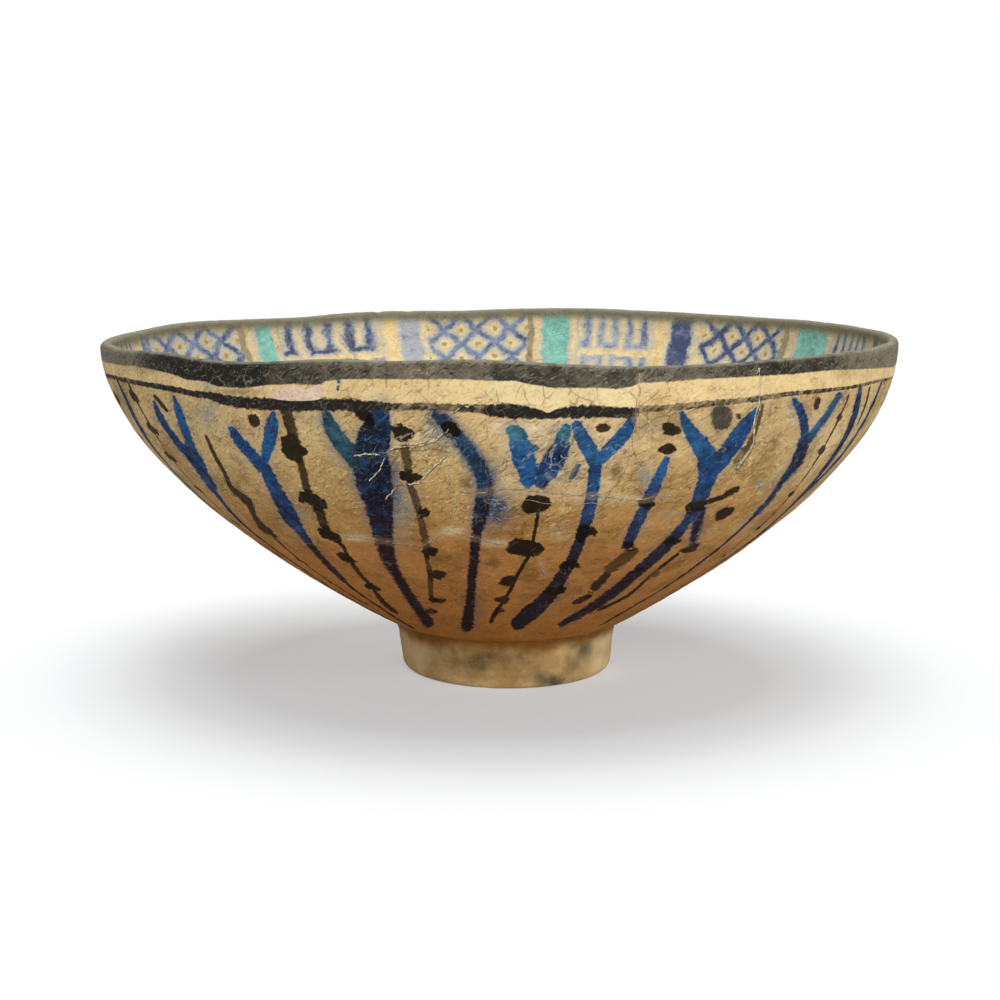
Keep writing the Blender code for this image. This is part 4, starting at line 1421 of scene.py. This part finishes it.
def painted_glaze(name, inside, restored=False, stained=False):
    """Clear alkaline glaze on brush-painted stonepaste: satin, crinkled, worn, browned low by staining and
    painted shade; painted highlights.
    """
    material, add, dress = new_material(name)
    place = add(SPOT)
    beside, _, height = add(PARTS, place).node.outputs
    cloud = add(CLOUDS, place, every(42), 5, 0.6)
    mottle = add(CLOUDS, place, every(9), 6, 0.65)
    wash = add(CLOUDS, place, every(3.4), 5, 0.65)
    grain = add(CLOUDS, place, every(0.9), 4, 0.7)
    ragged = add(MINUS, add(CLOUDS, place, every(1.2), 5, 0.72), 0.5)
    uneven = add(MINUS, wash, 0.5)
    creases = []
    for shift in (0.0, 0.28 * MM):
        slanted = add(SLANTED, place, (0.3 * shift, 0.0, shift), (0.0, 0.75, 0.0), (1.0, 1.0, 2.2))
        creases.append(add(CLOUDS, slanted, every(1.4), 4, 0.62, 0.8))
    crinkle = creases[0]
    # Two offset crinkles: their difference gives the folds of the glaze a painted highlight on one side and
    # painted shade on the other
    fold_light_and_shade = add(MINUS, crinkle, creases[1])
    wrinkle = add(MINUS, add(CLOUDS, slanted, every(6.0), 3, 0.55, 0.9), 0.5)
    carried = {}
    for mark in NO_MARKS:
        held = add(("ShaderNodeAttribute", "Vector", (), {"attribute_name": mark}))
        carried[mark] = add(PARTS, held).node.outputs
    blue_edge, blot_edge, band_edge = carried["paint"]
    dark, green, soft = carried["tint"]
    string_x, string_y, string_far = carried["string"]
    line, line_wear, rim_wear = carried["line"]
    grey_blue, deep_blue, dirt = carried["cast"]
    # The wear marks: the share of painted glints, the pale patches and how thin the black is
    glint, pale, thin = carried["wear"]
    crack_x, crack_y, crack_far = carried["crack"]
    join, lip, crack_strength = carried["edge"]

    # The ground: lighter up high, browner and darker towards the foot, which is a stain and partly painted
    # shade of the lower wall
    if inside:
        # Inside, the painted highlights and painted shade on the folds are weak all over
        crisp = fold_shade_share = 0.25
        ground = add(COAT, add(STEP, mottle, 0.4, 0.7), "#c4bca6", "#a69e89")
        cream = add(COAT, add(STEP, wash, 0.4, 0.75), "#ebd29c", "#d3b67f")
        ground = add(COAT, pale, ground, cream)
    else:
        rise = add(SPREAD, cloud, 0.035, height)
        if stained:
            rise = add(SPREAD, beside, STAIN_SLANT, add(MINUS, rise, STAIN_LIFT))
        ground = add(COAT, add(STEP, rise, 0.095, 0.072), "#d2b078", "#b99153")
        ground = add(COAT, add(STEP, mottle, 0.44, 0.66, 0, 0.6), ground, "#936d38")
        # How far the brown reaches down the wall: staining, and partly painted shade of the lower wall
        brown = add(STEP, rise, 0.0850, 0.0560)
        # How strong the painted highlights and painted shade on the folds and wrinkles are, and the dark
        # grain: more where the glaze glints, less low down
        crisp = add(TIMES, add(STEP, glint, 0.0, 0.9, 0.6, 1.0), add(SLOPE, brown, 0, 1, 1.0, 0.3))
        brown_stain_and_shade = add(COAT, add(STEP, mottle, 0.35, 0.7), "#b77c40", "#96632d")
        brown_stain_and_shade = add(COAT, add(STEP, wash, 0.5, 0.72, 0, 0.5), brown_stain_and_shade, "#75491e")
        brown_stain_and_shade = add(COAT, add(STEP, rise, 0.056, 0.038, 0, 0.6), brown_stain_and_shade, "#bb742c")
        ground = add(COAT, brown, ground, brown_stain_and_shade)
        if restored:
            pale = add(MORE, pale, 0.3)
        whiter = add(STEP, mottle, 0.25, 0.7, 1.0, 0.45)
        ground = add(COAT, add(TIMES, pale, whiter), ground, "#e8cba4" if restored else "#e8d3a2")
        fresh, old = ("#f2daa4", "#dcbc80") if restored else ("#efce94", "#cda669")
        cream = add(COAT, add(STEP, mottle, 0.4, 0.75, 0, 0.7), fresh, old)
        banded = add(STEP, line, 0.0, 0.25)
        ground = add(COAT, banded, ground, cream)
        # The painted shade on the folds, weaker over the cream band
        fold_shade_share = add(TIMES, crisp, add(SLOPE, banded, 0, 1, 1.0, 0.4))
    soil = add(STEP, add(SPREAD, wash, 0.5, dirt), 0.35, 1.1, 0, 0.7)
    ground = add(COAT, soil, ground, "#5f431f")
    # A grey veil: outside the grey-blue washes; inside a warm grey that on the left of the inner wall is
    # partly painted shade
    haze = add(TIMES, grey_blue, add(STEP, wash, 0.25, 0.7, 0.35, 0.9))
    ground = add(COAT, haze, ground, "#a0957d" if inside else "#7c8a88")
    smoke = add(TIMES, deep_blue, add(STEP, wash, 0.2, 0.7, 0.5, 1.0))
    ground = add(COAT, smoke, ground, "#33445c")
    ground = add(COAT, add(TIMES, add(STEP, grain, 0.52, 0.72, 0, 0.45), crisp), ground, "#6b4d28")
    # A painted highlight and painted shade on the two sides of the folds
    ground = add(COAT, add(TIMES, add(STEP, fold_light_and_shade, 0.015, 0.12, 0, 0.75), crisp), ground, "#ead6a4")
    ground = add(COAT, add(TIMES, add(STEP, fold_light_and_shade, -0.015, -0.12, 0, 0.75), fold_shade_share), ground, "#563b1b")

    # Blue strokes, bled into the glaze
    fray = add(SPREAD, soft, 1.8, 1.3)
    blue = add(SPREAD, ragged, fray, blue_edge)
    tone = add(SPREAD, add(MINUS, grain, 0.5), 0.7, add(SPREAD, add(MINUS, mottle, 0.5), 1.4, dark))
    tone = add(SPREAD, uneven, 1.8, tone)
    bright, middle, deep = ("#adb2b6", "#7886a3", "#475073") if inside else ("#265a8b", "#1f3b62", "#15131f")
    pigment = add(COAT, add(STEP, tone, 0.0, 0.5), bright, middle)
    pigment = add(COAT, add(STEP, tone, 0.45, 1.0), pigment, deep)
    if not inside:
        # Strokes low down turn darker and browner with the same staining and painted shade
        pigment = add(COAT, add(TIMES, brown, 0.92), pigment, "#291614")
    leaf, sea = ("#8ccabb", "#74ab9c") if inside else ("#558f92", "#2b5b6c")
    turquoise = add(COAT, add(STEP, wash, 0.35, 0.7), leaf, sea)
    pigment = add(COAT, green, pigment, turquoise)
    # Painted highlights and painted shade on the folds over the strokes; where the glaze glints, pale flecks
    # that are partly worn pigment and partly painted glint
    fold_highlight = add(TIMES, add(STEP, fold_light_and_shade, 0.01, 0.12), crisp)
    pigment = add(COAT, add(TIMES, fold_highlight, 0.4), pigment, "#9fb2c6" if inside else "#50759f")
    pigment = add(COAT, add(TIMES, add(STEP, fold_light_and_shade, -0.01, -0.12, 0, 0.8), crisp), pigment, "#0d0c14")
    rubbed_and_glinting = add(TIMES, add(STEP, fold_light_and_shade, 0.07, 0.16), add(STEP, glint, 0.1, 1.0, 0.0, 0.7))
    pigment = add(COAT, rubbed_and_glinting, pigment, "#a59e8a")
    bleed = add(TIMES, add(STEP, blue, 2.2, 0.0), add(TIMES, soft, add(STEP, wash, 0.3, 0.7, 0.3, 1.0)))
    if not inside:
        bleed = add(TIMES, bleed, add(SLOPE, brown, 0, 1, 1.0, 0.2))
    colour = add(COAT, bleed, ground, "#bcbdb6" if inside else "#56657a")
    inked = add(STEP, add(BY, blue, add(MORE, soft, 0.12)), 0.6, -0.6)
    colour = add(COAT, inked, colour, pigment)

    # Black strings, blots and the line under the cream band
    strayed = add(REACH, add(PAIR, string_x, string_y))
    drawn = add(STEP, add(SPREAD, ragged, 2.0, strayed), 1.15, 0.75)
    drawn = add(TIMES, drawn, add(STEP, string_far, 3.4, 2.8))
    blot = add(STEP, add(SPREAD, ragged, 1.8, blot_edge), 0.14, -0.14)
    thinned = add(STEP, add(SPREAD, uneven, 0.9, thin), 0.1, 0.9)
    soot = add(COAT, thinned, "#130b06", "#94835c" if inside else "#553e24")
    cover = add(STEP, thin, 0.2, 0.9, 0.97, 0.72)
    colour = add(COAT, add(TIMES, add(MORE, drawn, blot), cover), colour, soot)
    ruled = add(STEP, add(SIZE, add(SPREAD, ragged, 1.7, line)), 1.15, 0.80)
    gone = add(STEP, add(SPREAD, line_wear, 0.3, crinkle), 0.60, 0.84, 1.0, 0.55)
    faded = add(STEP, add(SPREAD, uneven, 0.9, line_wear), 0.1, 1.1)
    line_soot = add(COAT, faded, "#282320", "#3c3122")
    # A painted highlight on the folds over the line
    line_soot = add(COAT, add(STEP, fold_light_and_shade, 0.02, 0.14, 0, 0.4), line_soot, "#83796a")
    colour = add(COAT, add(TIMES, ruled, gone), colour, line_soot)

    # The rim band, worn towards the lip, and a painted highlight along the top of the lip
    if inside:
        shade = add(STEP, band_edge, LIP_SHADE, 0.2, 0, 0.9)
        colour = add(COAT, shade, colour, "#75715b")
    else:
        band = add(SPREAD, ragged, 0.8, band_edge)
        worn = add(SPREAD, uneven, 1.0, rim_wear)
        ash = add(COAT, add(STEP, worn, 0.0, 0.95), "#2a2824", "#857a66")
        # A painted highlight and painted shade on the folds over the rim band
        ash = add(COAT, add(STEP, fold_light_and_shade, 0.02, 0.14, 0, 0.4), ash, "#b0a68e")
        ash = add(COAT, add(STEP, fold_light_and_shade, -0.01, -0.12, 0, 0.8), ash, "#161310")
        colour = add(COAT, add(STEP, band, 0.2, -0.2), colour, ash)
    # A painted highlight along the top of the lip
    lip_highlight = add(TIMES, add(STEP, lip, 0.7, 0.1), add(STEP, wash, 0.3, 0.6, 0.3, 0.8))
    colour = add(COAT, lip_highlight, colour, "#8f8c7c")

    # Wrinkles with a painted highlight and painted shade on their sides, crazing, cracks with a painted
    # highlight and a painted shadow under them, painted glints along the web, and the joins
    bent = add(MOVED, add(SHIFTS, place, every(5.0), 3), (0.003, 0.003, 0.003), place)
    web = add(WEB, bent, every(4.4))
    craze = add(TIMES, add(STEP, web, 0.025, 0.006), add(STEP, mottle, 0.5, 0.62))
    lively = add(STEP, add(CLOUDS, place, every(5.0), 3, 0.6), 0.50, 0.60)
    if not inside:
        colour = add(COAT, add(TIMES, craze, 0.3), colour, "#4c351b")
        # Painted shade on one side of each wrinkle and a painted highlight on the other, where the glaze
        # glints
        wrinkle_shading = add(TIMES, add(TIMES, lively, add(STEP, glint, 0.2, 0.9)), crisp)
        wrinkle_shade = add(TIMES, add(STEP, add(SIZE, add(PLUS, wrinkle, 0.035)), 0.035, 0.01, 0, 0.5), wrinkle_shading)
        wrinkle_highlight = add(TIMES, add(STEP, add(SIZE, add(MINUS, wrinkle, 0.02)), 0.026, 0.006, 0, 0.35), wrinkle_shading)
        colour = add(COAT, wrinkle_shade, colour, "#2a1c0d")
        colour = add(COAT, wrinkle_highlight, colour, "#ecdcb2")
    spark = add(TIMES, add(STEP, web, 0.026, 0.008), add(TIMES, lively, glint))
    crack = add(REACH, add(PAIR, add(SPREAD, uneven, 1.6, crack_x), add(SPREAD, ragged, 1.6, crack_y)))
    crack = add(BY, crack, add(SPREAD, crack_strength, 0.7, 0.4))
    seen = add(TIMES, crack_strength, add(STEP, crack_far, 1.3, 1.0))
    seen = add(TIMES, add(STEP, seen, 0.1, 0.8), add(STEP, wash, 0.30, 0.50, 0.3, 1.0))
    faint = add(TIMES, seen, add(STEP, crack_strength, 0.64, 0.60))
    scar = add(TIMES, add(STEP, crack, 1.6, 0.4, 0, 0.3), faint)
    colour = add(COAT, scar, colour, "#d2b183")
    # A painted highlight along each crack, a painted shadow on its lower side, and painted glints along the
    # web
    crack_highlight = add(TIMES, add(STEP, crack, 0.20, 0.08), seen)
    shadow = add(TIMES, add(STEP, crack, 0.50, 0.22), add(STEP, crack_y, 0.0, 0.1, 0, 0.75))
    colour = add(COAT, add(TIMES, shadow, seen), colour, "#2e1f0e")
    lit = add(MORE, crack_highlight, add(TIMES, spark, 0.25))
    colour = add(COAT, lit, colour, "#f2e6c4")
    seam = add(STEP, add(SPREAD, ragged, 0.25, join), 0.14, 0.0)
    filler = add(COAT, add(STEP, wash, 0.4, 0.6), "#d3ba88", "#6b5433")
    colour = add(COAT, add(TIMES, seam, add(STEP, mottle, 0.4, 0.65, 0.05, 0.4)), colour, filler)

    gloss = add(SPREAD, grain, 0.15, add(STEP, mottle, 0.3, 0.75, 0.58, 0.72))
    relief = add(SPREAD, grain, 0.3, add(SPREAD, crinkle, 1.0, wash))
    relief = add(SPREAD, lit, 0.9, add(SPREAD, craze, -0.5, relief))
    relief = add(RELIEF, 0.9, 0.0007, relief)
    dress({"Base Color": colour, "Roughness": gloss, "Specular IOR Level": SHEEN, "Normal": relief})
    return material


def bare_foot():
    """Unglazed stonepaste that was turned and much handled: matt, soiled, with glaze that ran on to it."""
    material, add, dress = new_material("bare_stonepaste_turned")
    place = add(SPOT)
    height = add(PARTS, place).node.outputs["Z"]
    cloud = add(CLOUDS, place, every(14), 5, 0.6)
    mottle = add(CLOUDS, place, every(5), 6, 0.65)
    grain = add(CLOUDS, place, every(0.8), 4, 0.7)
    colour = add(COAT, add(STEP, cloud, 0.35, 0.65), "#e9c58b", "#c29c64")
    colour = add(COAT, add(STEP, mottle, 0.5, 0.75, 0, 0.45), colour, "#8f6e42")
    colour = add(COAT, add(STEP, grain, 0.55, 0.8, 0, 0.45), colour, "#6d5330")
    smudge = add(STEP, add(CLOUDS, place, every(11), 3, 0.6), 0.62, 0.74, 0, 0.5)
    colour = add(COAT, smudge, colour, "#6b6247")
    cast = add(PARTS, add(("ShaderNodeAttribute", "Vector", (), {"attribute_name": "cast"}))).node.outputs
    # Painted light on the top of the foot, where the bowl shades it
    colour = add(COAT, cast["Y"], colour, "#ffe3ad")
    colour = add(COAT, add(TIMES, cast["Z"], add(STEP, mottle, 0.3, 0.6, 0.6, 1.0)), colour, "#714d22")
    colour = add(COAT, add(TIMES, cast["X"], add(STEP, mottle, 0.35, 0.6, 0.45, 1.0)), colour, "#4a4736")
    glazed = add(STEP, add(SPREAD, cloud, 0.006, height), 0.0120, 0.0158)
    glaze = add(COAT, add(STEP, mottle, 0.35, 0.7), "#9c682e", "#805220")
    colour = add(COAT, glazed, colour, glaze)
    gloss = add(STEP, glazed, 0.0, 1.0, 0.8, 0.5)
    relief = add(RELIEF, 0.7, 0.0004, add(PLUS, grain, mottle))
    dress({"Base Color": colour, "Roughness": gloss, "Specular IOR Level": SHEEN, "Normal": relief})
    return material


def fracture():
    """The sugary broken edge of stonepaste under its glaze."""
    material, add, dress = new_material("broken_stonepaste")
    grain = add(CLOUDS, add(SPOT), every(0.9), 5, 0.7)
    colour = add(COAT, add(STEP, grain, 0.35, 0.7), "#c9b083", "#7a5f38")
    dress({"Base Color": colour, "Roughness": 0.9})
    return material


def tinted_plaster():
    """Pink plaster pressed into a chip and left matt."""
    material, add, dress = new_material("tinted_plaster_pressed")
    place = add(SPOT)
    cloud = add(CLOUDS, place, every(4), 5, 0.6)
    grain = add(CLOUDS, place, every(0.7), 4, 0.7)
    colour = add(COAT, add(STEP, cloud, 0.35, 0.7), "#ebcdb2", "#ddb698")
    colour = add(COAT, add(STEP, grain, 0.50, 0.70, 0, 0.7), colour, "#a87d62")
    relief = add(RELIEF, 0.6, 0.0004, grain)
    dress({"Base Color": colour, "Roughness": 0.85, "Specular IOR Level": SHEEN, "Normal": relief})
    return material


def soft_lamp(name, place, size, power):
    """A round soft lamp that looks at the bowl."""
    lamp = bpy.data.lights.new(name, "AREA")
    lamp.shape = "DISK"
    lamp.size = size
    lamp.energy = power
    holder = bpy.data.objects.new(name, lamp)
    holder.location = place
    aim = Vector(LAMP_AIM) - Vector(place)
    holder.rotation_euler = aim.to_track_quat("-Z", "Y").to_euler()
    bpy.context.scene.collection.objects.link(holder)


def table_and_light():
    """A white table, a broad overhead lamp, a softer one at the right and an even white room."""
    mesh = bpy.data.meshes.new("table")
    corners = [(TABLE_REACH * x, TABLE_REACH * y, 0) for x, y in ((-1, -1), (1, -1), (1, 1), (-1, 1))]
    mesh.from_pydata(corners, [], [(0, 1, 2, 3)])
    table = bpy.data.objects.new("table", mesh)
    bpy.context.scene.collection.objects.link(table)
    material, add, dress = new_material("white_table")
    dress({"Base Color": TABLE_WHITE, "Roughness": 1.0, "Specular IOR Level": 0.0})
    away = add(REACH, add(SLANTED, add(SPOT), ROUND_BOWL, (0.0, 0.0, 0.0), ROUND_BOWL_SHAPE))
    seen = add(("ShaderNodeLightPath", "Is Camera Ray", (), {}))
    glow = add(("ShaderNodeEmission", 0, ("Color", "Strength"), {}), (1, 1, 1, 1), 1.0)
    beside = add(REACH, add(SLANTED, add(SPOT), BESIDE_FOOT))
    share = add(PLUS, add(SLOPE, away, *ROUND_BOWL_GLOW), add(SLOPE, beside, *BESIDE_FOOT_GLOW))
    tree = material.node_tree
    plain = tree.nodes["Principled BSDF"].outputs[0]
    both = add(("ShaderNodeMixShader", 0, (0, 1, 2), {}), add(TIMES, share, seen), plain, glow)
    fill(tree, tree.nodes["Material Output"], {"Surface": both})
    mesh.materials.append(material)

    for name, (place, size, power) in LAMPS.items():
        soft_lamp(name, place, size, power)
    world = bpy.data.worlds.new("white_room")
    bpy.context.scene.world = world
    world.use_nodes = True
    tree = world.node_tree
    add = partial(add_node, tree)
    path = add(("ShaderNodeLightPath", 0, (), {})).node.outputs
    direct = add(MORE, path["Is Camera Ray"], add(MORE, path["Is Glossy Ray"], path["Is Transmission Ray"]))
    strength = add(SLOPE, direct, 0.0, 1.0, ROOM_LIGHT, 1.0)
    fill(tree, tree.nodes["Background"], {"Color": (1, 1, 1, 1), "Strength": strength})


def photo_camera():
    """The camera at the photograph's place."""
    lens = bpy.data.cameras.new("photo_camera")
    lens.sensor_width = SENSOR
    lens.lens = SENSOR * FOCAL_PIXELS / PHOTO_SIZE
    lens.clip_start = 0.01
    eye = bpy.data.objects.new("photo_camera", lens)
    place = Matrix.Translation(Vector(CAMERA_PLACE) * MM)
    tilt = Matrix.Rotation(pi / 2 - CAMERA_PITCH, 4, "X")
    eye.matrix_world = place @ tilt @ Matrix.Rotation(CAMERA_ROLL, 4, "Z")
    bpy.context.scene.collection.objects.link(eye)
    bpy.context.scene.camera = eye


def stand_for(piece, node):
    """Let a piece stand for a solid: hide the solid and hang the piece from the root."""
    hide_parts(node)
    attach(piece, "root")


def mended_bowl():
    """Every piece of the bowl."""
    broken = fracture()
    outside = painted_glaze("glazed_painted_outside", False)
    inside = painted_glaze("glazed_painted_inside", True)
    glazed = [outside, inside, broken]
    mended = [painted_glaze("restored_overpaint_outside", False, restored=True), inside, broken]
    for index, (_, _, _, node) in enumerate(RIM_BREAKS):
        restored = node == "restored_panel"
        stand_for(sherd(index, mended if restored else glazed), node)
    stained = [painted_glaze("glazed_stained_outside", False, stained=True), inside, broken]
    stand_for(base(stained), "base")
    stand_for(foot_ring(bare_foot()), "foot_ring")
    stand_for(plaster_fill(tinted_plaster()), "plaster_fill")


bpy.context.scene.view_settings.view_transform = "Standard"
mended_bowl()
table_and_light()
photo_camera()
